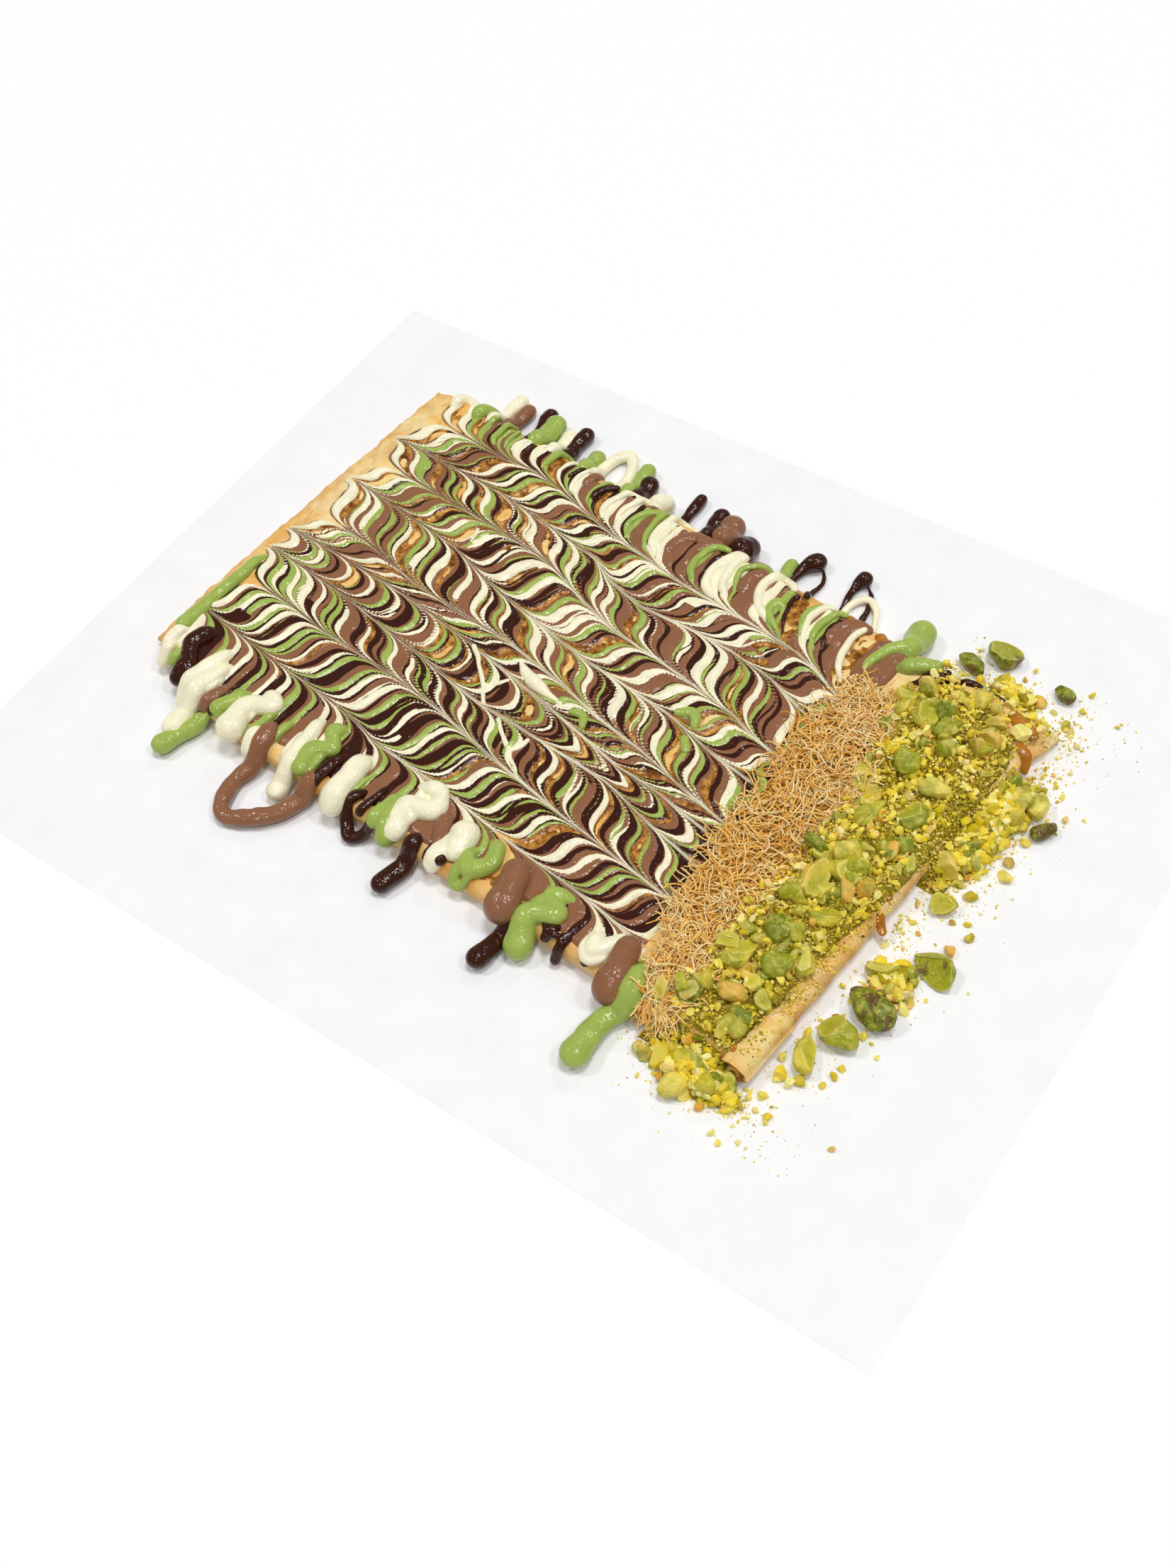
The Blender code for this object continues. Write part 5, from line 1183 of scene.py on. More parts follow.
PISTACHIO_RIGHT = [(-80, 141), (-62, 143.5), (-30, 145.5), (-14, 147.5), (0, 149), (10, 150), (62, 150),
                   (70, 147), (80, 136)]
PISTACHIO_DEPTH = 4.4
HEAP_CRUMBS = 17500
# The spills on the paper: middle, half size along and across, and height.
SPILLS = {
    "end": ((157.0, 41.0), (5.6, 23.0), 4.4),
    "near_end": ((164.0, -28.0), (7.0, 6.0), 3.6),
    "near_side": ((134.0, -92.5), (16.0, 5.6), 4.2),
    "far_side": ((130.0, 94.5), (9.0, 4.6), 3.6),
}
NUT_STOPS = [(0.0, "#5E4A00"), (0.12, "#9C8A06"), (0.30, "#D8BE14"), (0.48, "#F8DA32"), (0.66, "#FFEC5E"),
             (0.86, "#FFF8B4"), (0.94, "#F2A838"), (1.0, "#5E3A1C")]

# Pistachio ground to grit of about 0.9 mm, dry and dull. It gives a grainy yellow-green, with painted shade
# darkening the low gaps between the grains, greener in clumps 4 mm wide.
nut_flour, tree, shader = new_material("pistachio_flour")
at = add_node(tree, "TexCoord", "Object")
grit = add_node(tree, "TexNoise", "Fac", {
    "Vector": at, "Scale": 1000.0 / 0.91, "Detail": 5.0, "Roughness": 0.72})
clumps = add_node(tree, "TexNoise", "Fac", {
    "Vector": at, "Scale": 1000.0 / 4.17, "Detail": 4.0, "Roughness": 0.6})
# Painted shade: the grit's colour runs to dark brown in its low places, the gaps between the grains.
grit_colour_with_gap_shade = add_node(tree, "ValToRGB", "Color", {"Fac": grit}, stops=[
    (0.32, "#4E3C04"), (0.43, "#957E14"), (0.54, "#D0B438"), (0.68, "#F8E690")])
clumped = add_node(tree, "MapRange", "Result", {
    "Value": clumps, "From Min": 0.42, "From Max": 0.62, "To Max": 0.4})
flour = add_node(tree, "Mix", "Result_Color", {
    "Factor_Float": clumped, "A_Color": grit_colour_with_gap_shade, "B_Color": hex_colour("#B8AE24")}, {"data_type": "RGBA"})
grain = add_node(tree, "Bump", "Normal", {"Height": grit, "Distance": 0.0015, "Strength": 1.0})
tree.links.new(flour, shader.inputs["Base Color"])
tree.links.new(grain, shader.inputs["Normal"])
shader.inputs["Roughness"].default_value = 0.8
shader.inputs["Specular IOR Level"].default_value = 0.1

# Broken pistachio, a little oily where it broke. Each crumb has a shade of its own from dark green
# over yellow to roasted brown, on the heap with painted shade and light by its hollows and rises, with
# flecks 1.9 mm wide, paler faces where it was cut and a grain of 0.7 mm; patches 7.7 mm wide are greener.
nut_pieces, tree, shader = new_material("crushed_pistachio_green")
at = add_node(tree, "TexCoord", "Object")
shade = add_node(tree, "Attribute", "Fac", settings={"attribute_name": "shade"})
tone = add_node(tree, "ValToRGB", "Color", {"Fac": shade}, stops=NUT_STOPS)
flecks = add_node(tree, "TexNoise", "Fac", {
    "Vector": at, "Scale": 1000.0 / 1.92, "Detail": 4.0, "Roughness": 0.65})
flecks = add_node(tree, "MapRange", "Result", {
    "Value": flecks, "From Min": 0.46, "From Max": 0.66, "To Max": 0.45})
tone = add_node(tree, "Mix", "Result_Color", {
    "Factor_Float": flecks, "A_Color": tone, "B_Color": hex_colour("#E8D058")}, {"data_type": "RGBA"})
cut = add_node(tree, "Attribute", "Fac", settings={"attribute_name": "cut"})
cut = add_node(tree, "MapRange", "Result", {
    "Value": cut, "From Min": 0.02, "From Max": 0.18, "To Max": 0.4})
tone = add_node(tree, "Mix", "Result_Color", {
    "Factor_Float": cut, "A_Color": tone, "B_Color": hex_colour("#F3E37E")}, {"data_type": "RGBA"})
greener = add_node(tree, "TexNoise", "Fac", {
    "Vector": at, "Scale": 1000.0 / 7.69, "Detail": 3.0, "Roughness": 0.55})
greener = add_node(tree, "MapRange", "Result", {
    "Value": greener, "From Min": 0.52, "From Max": 0.64, "To Max": 0.26})
tone = add_node(tree, "Mix", "Result_Color", {
    "Factor_Float": greener, "A_Color": tone, "B_Color": hex_colour("#9CAC20")}, {"data_type": "RGBA"})
broken = add_node(tree, "TexNoise", "Fac", {
    "Vector": at, "Scale": 1000.0 / 0.667, "Detail": 4.0, "Roughness": 0.6})
grain = add_node(tree, "Bump", "Normal", {"Height": broken, "Distance": 0.0003, "Strength": 0.6})
tree.links.new(tone, shader.inputs["Base Color"])
tree.links.new(grain, shader.inputs["Normal"])
shader.inputs["Roughness"].default_value = 0.36
shader.inputs["Specular IOR Level"].default_value = 0.15


def ball(level):
    """A unit ball of triangles: an icosahedron split level times."""
    g = (1 + 5 ** 0.5) / 2
    verts = [(-1, g, 0), (1, g, 0), (-1, -g, 0), (1, -g, 0), (0, -1, g), (0, 1, g), (0, -1, -g), (0, 1, -g),
             (g, 0, -1), (g, 0, 1), (-g, 0, -1), (-g, 0, 1)]
    faces = [(0, 11, 5), (0, 5, 1), (0, 1, 7), (0, 7, 10), (0, 10, 11), (1, 5, 9), (5, 11, 4),
             (11, 10, 2), (10, 7, 6), (7, 1, 8), (3, 9, 4), (3, 4, 2), (3, 2, 6), (3, 6, 8), (3, 8, 9),
             (4, 9, 5), (2, 4, 11), (6, 2, 10), (8, 6, 7), (9, 8, 1)]
    verts = [np.array(p, float) / math.hypot(1, g) for p in verts]
    for _ in range(level):
        middle, split = {}, []

        def halfway(a, b):
            key = (min(a, b), max(a, b))
            if key not in middle:
                point = verts[a] + verts[b]
                verts.append(point / np.linalg.norm(point))
                middle[key] = len(verts) - 1
            return middle[key]

        for a, b, c in faces:
            ab, bc, ca = halfway(a, b), halfway(b, c), halfway(c, a)
            split += [(a, ab, ca), (b, bc, ab), (c, ca, bc), (ab, bc, ca)]
        faces = split
    return np.array(verts), np.array(faces)


def random_turns(count, draw):
    """Random rotation matrices."""
    q = draw.normal(size=(count, 4))
    q /= np.linalg.norm(q, axis=1, keepdims=True)
    w, x, y, z = q.T
    return np.stack([
        np.stack([1 - 2 * (y * y + z * z), 2 * (x * y - z * w), 2 * (x * z + y * w)], -1),
        np.stack([2 * (x * y + z * w), 1 - 2 * (x * x + z * z), 2 * (y * z - x * w)], -1),
        np.stack([2 * (x * z - y * w), 2 * (y * z + x * w), 1 - 2 * (x * x + y * y)], -1)], -2)


def broken_bits(places, sizes, level, draw, flat=0.75, cuts=3, rough=0.12, shallow=0.15):
    """Rough angular bits: balls squashed, turned and cut by random flats.

    Returns vertices, faces, vertices in each bit, and how deep each vertex was cut.
    """
    ball_verts, ball_faces = ball(level)
    count = len(places)
    shape = np.repeat(ball_verts[None], count, 0)
    shape = shape * draw.uniform(1.0 - rough, 1.0 + rough, size=shape.shape[:2])[..., None]
    for _ in range(3 if level > 1 else 0):
        facing = draw.normal(size=(count, 1, 3))
        phase = draw.uniform(0, 6, (count, 1))
        shape = shape * (1.0 + 0.09 * np.sin(2.6 * (shape * facing).sum(2) + phase))[..., None]
    cut = np.zeros(shape.shape[:2])
    for _ in range(cuts):
        facing = draw.normal(size=(count, 1, 3))
        facing /= np.linalg.norm(facing, axis=2, keepdims=True)
        limit = draw.uniform(shallow, 0.8, size=(count, 1))
        over = np.clip((shape * facing).sum(2) - limit, 0.0, None)
        shape = shape - facing * over[..., None]
        cut = np.maximum(cut, over)
    shape = shape * np.stack([draw.uniform(0.9, 1.45, count), draw.uniform(0.75, 1.1, count),
                              draw.uniform(flat - 0.2, flat + 0.2, count)], -1)[:, None]
    shape = np.einsum("nij,nkj->nki", random_turns(count, draw), shape)
    verts = shape * (0.5 * np.asarray(sizes))[:, None, None] + np.asarray(places)[:, None]
    verts[..., 2] = np.maximum(verts[..., 2], 0.03)
    faces = ball_faces[None] + (np.arange(count) * len(ball_verts))[:, None, None]
    return verts.reshape(-1, 3), faces.reshape(-1, 3), len(ball_verts), cut.ravel()


def crumb_pieces(name, u, v, z, sizes, tones_and_painted_shade, draw, node=None):
    """Fine crumbs as plain angular bits and coarse ones as rounder broken bits, a piece of each."""
    for part, level, cuts, chosen in (("fine", 0, 1, sizes < 1.15), ("coarse", 1, 3, sizes >= 1.15)):
        places = np.stack([u, v, z], -1)[chosen]
        verts, faces, each, cut = broken_bits(places, sizes[chosen], level, draw, cuts=cuts)
        make_piece(name + "_" + part, to_frame(verts), faces, nut_pieces,
                   {"shade": np.repeat(tones_and_painted_shade[chosen], each), "cut": cut}, node=node,
                   smooth=False)


def into_heap(u, v):
    """How far inside the heap of nuts a point of the crepe lies."""
    right = follow(PISTACHIO_RIGHT, v) - 1.4 * (1 + wander(v, v * 0, 8.0, 131, 2))
    from_sides = np.minimum(v + 82.0, 81.0 - v)
    return np.minimum(np.minimum(u - follow(TOPPING_SEAM, v) + 3.0, right - u), from_sides)


def heap_surface(u, v):
    """Height of the nut flour over the crepe."""
    mound = quarter_round(into_heap(u, v) / 6.0)
    clods = 2.4 * wander(u, v, 13.0, 121, 2) + 1.1 * wander(u, v, 5.5, 123, 2)
    return crepe_height(u, v) - 0.35 + (PISTACHIO_DEPTH - 0.3 + clods) * mound


def slope_height(u, v):
    """Height of the crumbs that ran over the near and right rims down to the paper."""
    past_near, past_end = follow(NEAR_EDGE, u) - v, u - follow(RIGHT_EDGE, v)
    near = smoothstep((u - 109.0) / 6.0) * smoothstep((141.0 - u) / 5.0) * (past_near > -2.0)
    end = smoothstep((v - 8.0) / 10.0) * smoothstep((66.0 - v) / 8.0) * (past_end > -2.0)
    near = near * np.clip(1.0 - (past_near + 2.0) / 9.5, 0.0, 1.0)
    end = end * np.clip(1.0 - (past_end + 2.0) / 9.5, 0.0, 1.0)
    return 9.0 * np.maximum(near, end)


def rest_height(u, v):
    """Height of whatever lies under a crumb: paper, spill, slope, crepe or heap."""
    height = np.where(rim_distance(u, v) > 0.0, crepe_height(u, v), 0.0)
    height = np.where(into_heap(u, v) > 0.0, heap_surface(u, v), height)
    height = np.maximum(height, slope_height(u, v))
    for middle, half, top in SPILLS.values():
        out = ((u - middle[0]) / half[0]) ** 2 + ((v - middle[1]) / half[1]) ** 2
        height = np.maximum(height, (top - 0.8) * np.sqrt(np.clip(1.0 - out, 0.0, 1.0)))
    return height


# The flour that fills the heap, and the flour that ran down over the near and right rims.
gv, gs = np.meshgrid(np.linspace(-81.5, 80.5, 250), np.linspace(0.0, 1.0, 70), indexing="ij")
left = follow(TOPPING_SEAM, gv) + 0.15
right = follow(PISTACHIO_RIGHT, gv) - 1.4 * (1 + wander(gv, gv * 0, 8.0, 131, 2))
gu = left + (right - left) * gs
gz = heap_surface(gu, gv) + 0.7 * wander(gu, gv, 3.2, 141) * np.clip(into_heap(gu, gv) / 2.0, 0, 1)
verts = to_frame(np.stack([gu, gv, gz], -1)).reshape(-1, 3)
make_piece("pistachio_flour_heap", verts, grid_faces(*gu.shape), nut_flour,
           node="crushed_pistachio")
for name, low, high in (("near", 110.0, 140.0), ("end", 9.0, 65.0)):
    along, out = np.meshgrid(np.linspace(low, high, 70), np.linspace(-2.0, 7.4, 16), indexing="ij")
    if name == "near":
        gu, gv = along, follow(NEAR_EDGE, along) - out
    else:
        gu, gv = follow(RIGHT_EDGE, along) + out, along
    gz = slope_height(gu, gv) - 0.5 + 0.6 * wander(gu, gv, 3.0, 145)
    grid = np.stack([gu, gv, np.maximum(gz, 0.03)], -1)
    faces = grid_faces(*gu.shape)
    if name == "end":
        faces = faces[:, ::-1]
    make_piece("pistachio_slope_" + name, to_frame(grid).reshape(-1, 3), faces, nut_flour,
               node="crushed_pistachio")

# Crumbs on the heap, on the slopes, over the kataifi's seam and, thinner, on the rims beside the heap.
draw = np.random.default_rng(77)
u, v = draw.uniform(98.0, 159.0, HEAP_CRUMBS), draw.uniform(-94.0, 88.0, HEAP_CRUMBS)
seam = follow(TOPPING_SEAM, v)
on_rim = (rim_distance(u, v) > 0.0) & (into_heap(u, v) <= 0.0) & ((u > 137.0) | ((v > 78.0) & (u > 107.0)))
dusted = np.where(v > 78.0, 0.55, 0.95 * smoothstep((151.5 - u) / 7.5))
chance = np.where(into_heap(u, v) > 0.0, 1.0, np.where(on_rim, dusted, 0.0))
chance = np.where((u < seam) & (u > seam - 6.0) & (v > -82.0) & (v < 66.0), 0.3, chance)
chance = np.where(slope_height(u, v) > 0.6, 1.0, chance)
taken = draw.random(len(u)) < chance
u, v, seam, on_rim = u[taken], v[taken], seam[taken], on_rim[taken]
sizes = np.minimum(0.52 * (1.0 - draw.random(len(u))) ** -0.52, np.where(on_rim & (v < 78.0), 1.1, 3.4))
z = rest_height(u, v) + 0.3 * sizes + draw.uniform(-0.2, 0.4, len(u))
z += np.where((u < seam) & (v > -80), 1.8, 0.0)
z += np.where((v > 77.0) & (u < 116.0), 1.6, 0.0)
# Painted shade and light: each crumb's random shade is darker where the heap dips and paler where its clods
# rise.
tones_and_painted_shade = draw.beta(1.8, 1.6, len(u)) + 0.28 * wander(u, v, 5.5, 123, 2) + 0.12 * wander(u, v, 13.0, 121, 2)
crumb_pieces("pistachio_crumbs", u, v, z, sizes, np.clip(tones_and_painted_shade, 0, 0.96), draw, "crushed_pistachio")

# Each spill on the paper: a low mound of flour with crumbs in it and round it.
for number, (name, (centre, half, height)) in enumerate(SPILLS.items()):
    node = "spilled_pistachio_" + name
    draw = np.random.default_rng(200 + number)
    angle = np.linspace(0, 2 * math.pi, 72, endpoint=False)
    share = np.linspace(1.0, 0.02, 16)
    ga, gs = np.meshgrid(angle, share, indexing="ij")
    spread = 1.0 + 0.12 * wander(4 * np.cos(ga), 4 * np.sin(ga), 2.0, 150 + number, 2)
    gu = centre[0] + half[0] * gs * spread * np.cos(ga)
    gv = centre[1] + half[1] * gs * spread * np.sin(ga)
    gz = 0.1 + (height - 0.8) * np.sqrt(np.clip(1 - gs ** 2.2, 0, 1)) * (1 + 0.3 * wander(gu, gv, 4.0, 160))
    grid = np.stack([gu, gv, gz], -1)
    grid = np.concatenate([grid, grid[:1]])
    make_piece("flour_" + name, to_frame(grid).reshape(-1, 3), grid_faces(*grid.shape[:2]), nut_flour,
               node=node)
    count = int(10.0 * half[0] * half[1])
    radius = draw.random(count) ** 0.5 * draw.uniform(0.75, 1.45, count)
    angle = draw.uniform(0, 2 * math.pi, count)
    u = centre[0] + half[0] * radius * np.cos(angle)
    v = centre[1] + half[1] * radius * np.sin(angle)
    size = np.minimum(0.62 * (1 - draw.random(count)) ** -0.66, 4.6)
    z = rest_height(u, v) + 0.25 * size + draw.uniform(0.0, 0.9, count) * (radius < 0.9)
    crumb_pieces("crumbs_" + name, u, v, z, size, np.clip(draw.beta(2.2, 1.7, count), 0, 1.0), draw, node)


# Scattered crumbs
# Loose crumbs and broken pieces of the same nuts that rolled further over the paper round the
# crepe's right end. They lie loose in drifts, thinner the further out.

LOOSE_CRUMBS = 5200
draw = np.random.default_rng(303)
side = draw.random(LOOSE_CRUMBS)
u_end = 150.0 + np.abs(draw.normal(0, 12.0, LOOSE_CRUMBS))
u_sides = draw.uniform(104, 162, LOOSE_CRUMBS)
v_end = draw.uniform(-106, 112, LOOSE_CRUMBS)
v_near = -85.0 - np.abs(draw.normal(0, 8.0, LOOSE_CRUMBS))
v_far = 88.0 + np.abs(draw.normal(0, 9.0, LOOSE_CRUMBS))
u = np.where(side < 0.6, u_end, u_sides)
v = np.where(side < 0.6, v_end, np.where(side < 0.82, v_near, v_far))
drift = 0.5 + 0.5 * wander(u, v, 26.0, 305, 2)
chance = 0.15 + 0.85 * smoothstep((drift - 0.38) / 0.3)
taken = (rim_distance(u, v) < -0.8) & (draw.random(LOOSE_CRUMBS) < chance)
u, v = u[taken], v[taken]
size = np.minimum(0.36 * (1 - draw.random(len(u))) ** -0.55, 2.6)
crumb_pieces("scattered_crumbs", u, v, rest_height(u, v) + 0.32 * size, size,
             np.clip(draw.beta(3.6, 1.5, len(u)), 0, 0.97), draw)

# Broken pieces seen one by one: along, across, size and shade.
LOOSE = [
    (170, 29, 5.2, 0.7), (168, 34, 4.2, 0.98), (158, 18.5, 5.0, 0.75), (165, 15, 4.2, 0.25),
    (174, 2, 3.6, 0.2), (172, -5.5, 5.0, 0.93), (157, -24, 5.2, 0.5), (167, -26, 5.8, 0.6),
    (163, -20, 4.8, 0.45), (172, -33, 4.2, 0.75), (157.5, -48, 3.2, 0.98), (169, -61.5, 2.8, 0.4),
    (169, -65, 3.2, 0.35), (168, -70, 2.8, 0.5), (155, -75, 5.4, 0.5), (162, -73, 3.8, 0.3),
    (159.5, -76, 4.2, 0.8), (155, -84, 3.2, 0.6), (161, -89, 3.2, 0.45), (142, -99, 4.4, 0.94),
    (121, -94, 7.5, 0.35), (124, 96, 7.0, 0.3), (134, 94, 4.4, 0.1), (135, 85, 5.0, 0.75),
    (145, 75.5, 7.5, 0.78), (146, 87, 4.6, 0.6), (152, 94, 3.6, 0.2), (155, 28, 5.5, 0.62),
    (160, 33, 4.8, 0.45), (162, 25, 4.2, 0.7), (157, 55, 5.0, 0.66), (163, 49, 5.4, 0.3),
    (168, 44, 3.8, 0.55), (156, 13, 4.6, 0.4), (161, -31, 5.0, 0.7), (168, -48, 3.0, 0.6),
    (158, -40, 3.8, 0.65), (153, -58, 3.2, 0.5), (152, -70, 3.6, 0.72), (149, -92, 4.0, 0.5),
    (137, -95, 4.6, 0.66), (126, -96, 4.2, 0.75), (117, -91, 4.6, 0.4),
]
u, v, size, tone = np.array(LOOSE, float).T
draw = np.random.default_rng(311)
places = np.stack([u, v, rest_height(u, v) + 0.33 * size], -1)
verts, faces, each, cut = broken_bits(places, size, 2, draw, flat=0.9, cuts=4, rough=0.07, shallow=0.35)
make_piece("loose_pieces", to_frame(verts), faces, nut_pieces, {"shade": np.repeat(tone, each), "cut": cut},
           smooth=False)


# Pistachio kernels
# Whole, halved and quartered pistachio kernels on the heap and on the paper, green to yellow, some
# with patches of their purple-brown skin. Each one lies in the crumbs at its own turn.

# Along, across, length, width, height, turn in degrees and shade of each kernel.
KERNELS = [
    (125.5, -16.0, 17, 9.0, 8.0, 95, 0.90), (133.5, -6.5, 13, 9.5, 8.0, 60, 0.55),
    (136.5, -25.5, 11, 9.5, 7.5, 20, 0.55), (127.5, -38.5, 11, 9.5, 7.5, 150, 0.12),
    (135.0, -49.5, 11, 9.0, 7.5, 40, 0.30), (123.0, -53.0, 12, 9.0, 7.5, 70, 0.60),
    (130.0, -66.0, 11, 7.0, 6.5, 15, 0.95), (116.0, 61.0, 13, 8.5, 7.5, 115, 0.50),
    (107.0, 61.5, 11, 6.5, 6.5, 100, 0.62), (122.0, 40.5, 10, 9.5, 7.5, 30, 0.35),
    (137.0, 23.5, 12, 9.5, 7.5, 85, 0.22), (124.0, 15.5, 14, 7.0, 6.5, 80, 0.50),
    (136.0, 37.0, 11, 7.5, 6.5, 10, 0.78), (172.0, -15.5, 18, 13.0, 9.0, 155, 0.25),
    (165.0, -39.5, 18, 11.0, 9.0, 170, 0.08), (162.0, -53.5, 15, 11.0, 9.0, 10, 0.40),
    (158.0, -65.5, 13, 8.0, 8.0, 125, 0.60), (118.0, 108.0, 14, 11.5, 8.5, 165, 0.10),
    (111.0, 97.5, 12, 6.5, 6.0, 170, 0.10), (161.0, 6.5, 9, 8.0, 7.0, 30, 0.55),
    (159.5, 46.0, 10, 8.5, 7.5, 50, 0.32), (164.0, 58.0, 11, 7.0, 7.0, 105, 0.78),
    (130.0, -90.5, 11, 7.0, 7.0, 10, 0.60), (144.5, -89.5, 10, 7.5, 7.0, 120, 0.38),
    (131.5, -99.5, 10, 8.5, 7.5, 30, 0.72), (145.0, 105.0, 9, 5.0, 4.5, 165, 0.05),
    (171.0, 51.0, 10, 5.5, 5.0, 60, 0.10),
]
# The first 13 lie in the heap.
HEAP_KERNELS = 13
# How a kernel is cut, by its number: a flat's facing direction (along, across, up) and its distance
# from the middle as a share of the half size.
CUTS = {
    14: [((-0.3, 0.75, 0.6), 0.05), ((0.8, -0.2, 0.5), 0.45)],
    17: [((0.1, -0.6, 0.8), 0.45)],
    16: [((-0.7, 0.2, 0.6), 0.5)],
    18: [((0.1, -0.5, 0.85), 0.2)],
    1: [((0.2, -0.5, 0.8), 0.35)],
    3: [((-0.1, 0.7, 0.7), 0.2)],
    6: [((0.5, 0.3, 0.8), 0.4)],
    21: [((0.3, -0.4, 0.85), 0.3)],
    24: [((-0.3, 0.2, 0.9), 0.25)],
    11: [((0.1, 0.5, 0.8), 0.5)],
    2: [((0.1, -0.4, 0.9), 0.4)],
    8: [((0.4, -0.3, 0.85), 0.35)],
    20: [((-0.2, -0.5, 0.8), 0.3)],
}
# How much skin shows, by the kernel's number.
SKIN = {14: 0.10, 15: 0.15, 18: 0.10, 19: 0.1, 11: 0.03, 4: 0.05, 26: 0.2, 27: 0.22}
NO_SKIN = -0.1

# Roasted pistachio kernel, smooth and a little oily. It gives green to straw yellow by kernel, with
# darker hollows 5.9 mm wide, pale streaks of 2.4 mm, paler cut faces, patches 8.3 mm wide of the
# purple-brown skin, and nut dust in specks of 0.8 mm.
kernel_green, tree, shader = new_material("pistachio_kernel_green_and_skin")
at = add_node(tree, "TexCoord", "Object")
shade = add_node(tree, "Attribute", "Fac", settings={"attribute_name": "shade"})
tone = add_node(tree, "ValToRGB", "Color", {"Fac": shade}, stops=[
    (0.0, "#56600C"), (0.2, "#7E8A14"), (0.4, "#A9A81E"), (0.6, "#DAC43A"), (0.8, "#F6E26C"),
    (1.0, "#EBA444")])
hollows = add_node(tree, "TexNoise", "Fac", {
    "Vector": at, "Scale": 1000.0 / 5.88, "Detail": 3.0, "Roughness": 0.5})
hollows = add_node(tree, "MapRange", "Result", {
    "Value": hollows, "From Min": 0.42, "From Max": 0.62, "To Max": 0.7})
tone = add_node(tree, "Mix", "Result_Color", {
    "Factor_Float": hollows, "A_Color": tone, "B_Color": hex_colour("#7F8E14")}, {"data_type": "RGBA"})
streaks = add_node(tree, "TexNoise", "Fac", {
    "Vector": at, "Scale": 1000.0 / 2.38, "Detail": 5.0, "Roughness": 0.6})
streaks = add_node(tree, "MapRange", "Result", {
    "Value": streaks, "From Min": 0.45, "From Max": 0.68, "To Max": 0.55})
tone = add_node(tree, "Mix", "Result_Color", {
    "Factor_Float": streaks, "A_Color": tone, "B_Color": hex_colour("#E6D468")}, {"data_type": "RGBA"})
cut = add_node(tree, "Attribute", "Fac", settings={"attribute_name": "cut"})
face = add_node(tree, "ValToRGB", "Color", {"Fac": cut}, stops=[
    (0.02, "#F4E694"), (0.1, "#EAD870"), (0.25, "#CFC443"), (0.45, "#AEAE26")])
cut = add_node(tree, "MapRange", "Result", {
    "Value": cut, "From Min": 0.005, "From Max": 0.03, "To Max": 0.55})
tone = add_node(tree, "Mix", "Result_Color", {
    "Factor_Float": cut, "A_Color": tone, "B_Color": face}, {"data_type": "RGBA"})
skin = add_node(tree, "Attribute", "Fac", settings={"attribute_name": "skin"})
patches = add_node(tree, "TexNoise", "Fac", {
    "Vector": at, "Scale": 1000.0 / 8.33, "Detail": 3.0, "Roughness": 0.55})
skin = add_node(tree, "Math", "Value", {"Value": patches, "Value_001": skin}, {"operation": "ADD"})
skin = add_node(tree, "MapRange", "Result", {
    "Value": skin, "From Min": 0.64, "From Max": 0.72, "To Max": 0.8})
tone = add_node(tree, "Mix", "Result_Color", {
    "Factor_Float": skin, "A_Color": tone, "B_Color": hex_colour("#5E3C26")}, {"data_type": "RGBA"})
specks = add_node(tree, "TexNoise", "Fac", {
    "Vector": at, "Scale": 1000.0 / 0.769, "Detail": 3.0, "Roughness": 0.6})
specks = add_node(tree, "MapRange", "Result", {
    "Value": specks, "From Min": 0.62, "From Max": 0.66, "To Max": 0.8})
tone = add_node(tree, "Mix", "Result_Color", {
    "Factor_Float": specks, "A_Color": tone, "B_Color": hex_colour("#E8D774")}, {"data_type": "RGBA"})
wrinkles = add_node(tree, "TexNoise", "Fac", {
    "Vector": at, "Scale": 1000.0 / 1.67, "Detail": 4.0, "Roughness": 0.6})
grain = add_node(tree, "Bump", "Normal", {"Height": wrinkles, "Distance": 0.0006, "Strength": 0.6})
tree.links.new(tone, shader.inputs["Base Color"])
tree.links.new(grain, shader.inputs["Normal"])
shader.inputs["Roughness"].default_value = 0.3
shader.inputs["Specular IOR Level"].default_value = 0.3

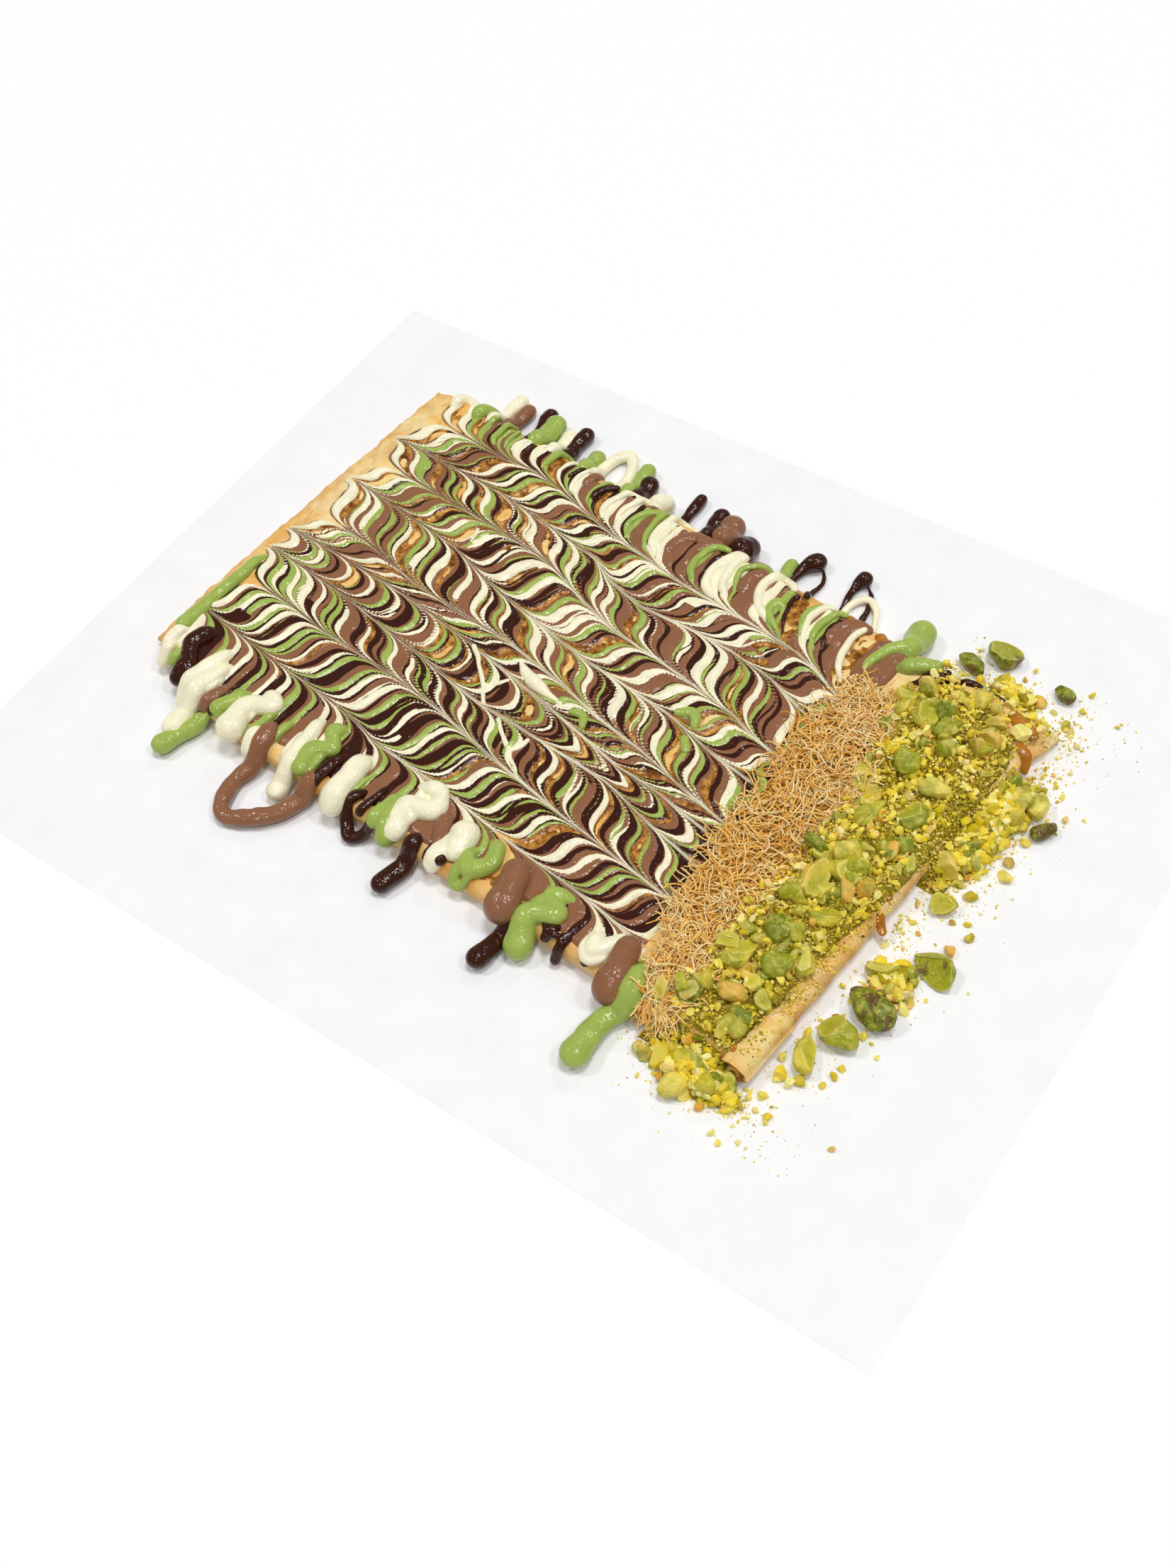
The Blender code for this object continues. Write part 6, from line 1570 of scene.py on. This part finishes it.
ball_verts, ball_faces = ball(4)
for number, (u, v, length, width, height, turn, tone) in enumerate(KERNELS, 1):
    lumps = 0.20 * wander(ball_verts[:, 0] * 5 + 9 * number,
                          ball_verts[:, 1] * 5 + ball_verts[:, 2] * 4, 4.0, 7)
    around = np.arctan2(ball_verts[:, 2], ball_verts[:, 1]) * 3.0
    furrows = np.sin(around + 2.0 * np.sin(2.2 * ball_verts[:, 0] + number))
    lumps = lumps + 0.09 * furrows * (1 - ball_verts[:, 0] ** 2)
    pits = wander(ball_verts[:, 0] * 9 - ball_verts[:, 2] * 7 + number, ball_verts[:, 1] * 9, 2.0, 8, 2)
    shape = ball_verts * (1.0 + lumps + 0.05 * pits)[:, None]
    shape = shape * np.stack([np.ones(len(shape)), 1.0 - 0.2 * shape[:, 0], 1.0 - 0.2 * shape[:, 0]], -1)
    crease = np.exp(-(shape[:, 1] / 0.14) ** 2) * np.clip(shape[:, 2], 0, 1)
    shape[:, 2] = np.where(shape[:, 2] < 0, 0.85 * shape[:, 2], shape[:, 2]) - 0.12 * crease
    cut = np.zeros(len(shape))
    draw = np.random.default_rng(500 + number)
    chips = [(draw.normal(size=3) * (1, 1, 0.7), draw.uniform(0.78, 0.95)) for _ in range(3)]
    for facing, depth in chips + CUTS.get(number, []):
        facing = np.array(facing) / np.linalg.norm(facing)
        over = np.clip(shape @ facing - depth, 0.0, None)
        shape = shape - facing * (0.9 * over)[:, None]
        if depth < 0.7:
            cut = np.maximum(cut, over)
            hollow = 0.22 * np.sqrt(np.clip(over, 0.0, 0.5)) * (over > 0.08) * (over - 0.08)
            shape = shape - facing * hollow[:, None]
    x, y, z = (shape * 0.5 * np.array([length, width, height])).T
    angle = math.radians(turn)
    middle = (HEAP_FLOOR + 2.1 if number <= HEAP_KERNELS else GAP + 0.2) + 0.425 * height
    verts = np.stack([u + x * math.cos(angle) - y * math.sin(angle),
                      v + x * math.sin(angle) + y * math.cos(angle), middle + z], -1)
    numbers = {"shade": np.full(len(verts), tone), "cut": cut,
               "skin": np.full(len(verts), SKIN.get(number, NO_SKIN))}
    make_piece(f"kernel_{number:02d}", to_frame(verts), ball_faces, kernel_green, numbers,
               node=f"pistachio_kernel_{number:02d}")


# Kernel pieces
# Halves and quarters of kernels, too many to name one by one, sunk in the crumbs of the heap and
# its spills. Their outsides are green or straw yellow, their broken faces paler.

HEAP_PIECES, TRIED_PLACES = 105, 900
# Pieces in the spills: how many, and the range along and across where they lie.
SPILL_PIECES = [(10, (152.0, 162.0), (14.0, 62.0)), (9, (114.0, 147.0), (-97.0, -86.0)),
                (6, (158.0, 170.0), (-36.0, -20.0))]
draw = np.random.default_rng(404)
u, v = draw.uniform(104.0, 150.0, TRIED_PLACES), draw.uniform(-82.0, 80.0, TRIED_PLACES)
taken = (into_heap(u, v) > 1.0) & (wander(u, v, 22.0, 181, 1) > -0.35)
u = np.concatenate([u[taken][:HEAP_PIECES]] + [draw.uniform(*along, n) for n, along, _ in SPILL_PIECES])
v = np.concatenate([v[taken][:HEAP_PIECES]] + [draw.uniform(*across, n) for n, _, across in SPILL_PIECES])
size = 4.2 + 5.0 * draw.random(len(u)) ** 1.5
tone = np.where(draw.random(len(u)) < 0.09, 0.95, np.clip(draw.beta(1.3, 1.1, len(u)), 0.02, 0.88))
places = np.stack([u, v, rest_height(u, v) + 0.2 * size], -1)
for name, level, chosen in (("kernel_quarters", 2, size < 6.0), ("kernel_halves", 3, size >= 6.0)):
    verts, faces, each, cut = broken_bits(places[chosen], size[chosen], level, draw, flat=0.9, cuts=3,
                                          rough=0.05, shallow=0.3)
    numbers = {"shade": np.repeat(tone[chosen], each), "cut": 0.5 * cut,
               "skin": np.full(len(verts), NO_SKIN)}
    make_piece(name, to_frame(verts), faces, kernel_green, numbers,
               node="crushed_pistachio")
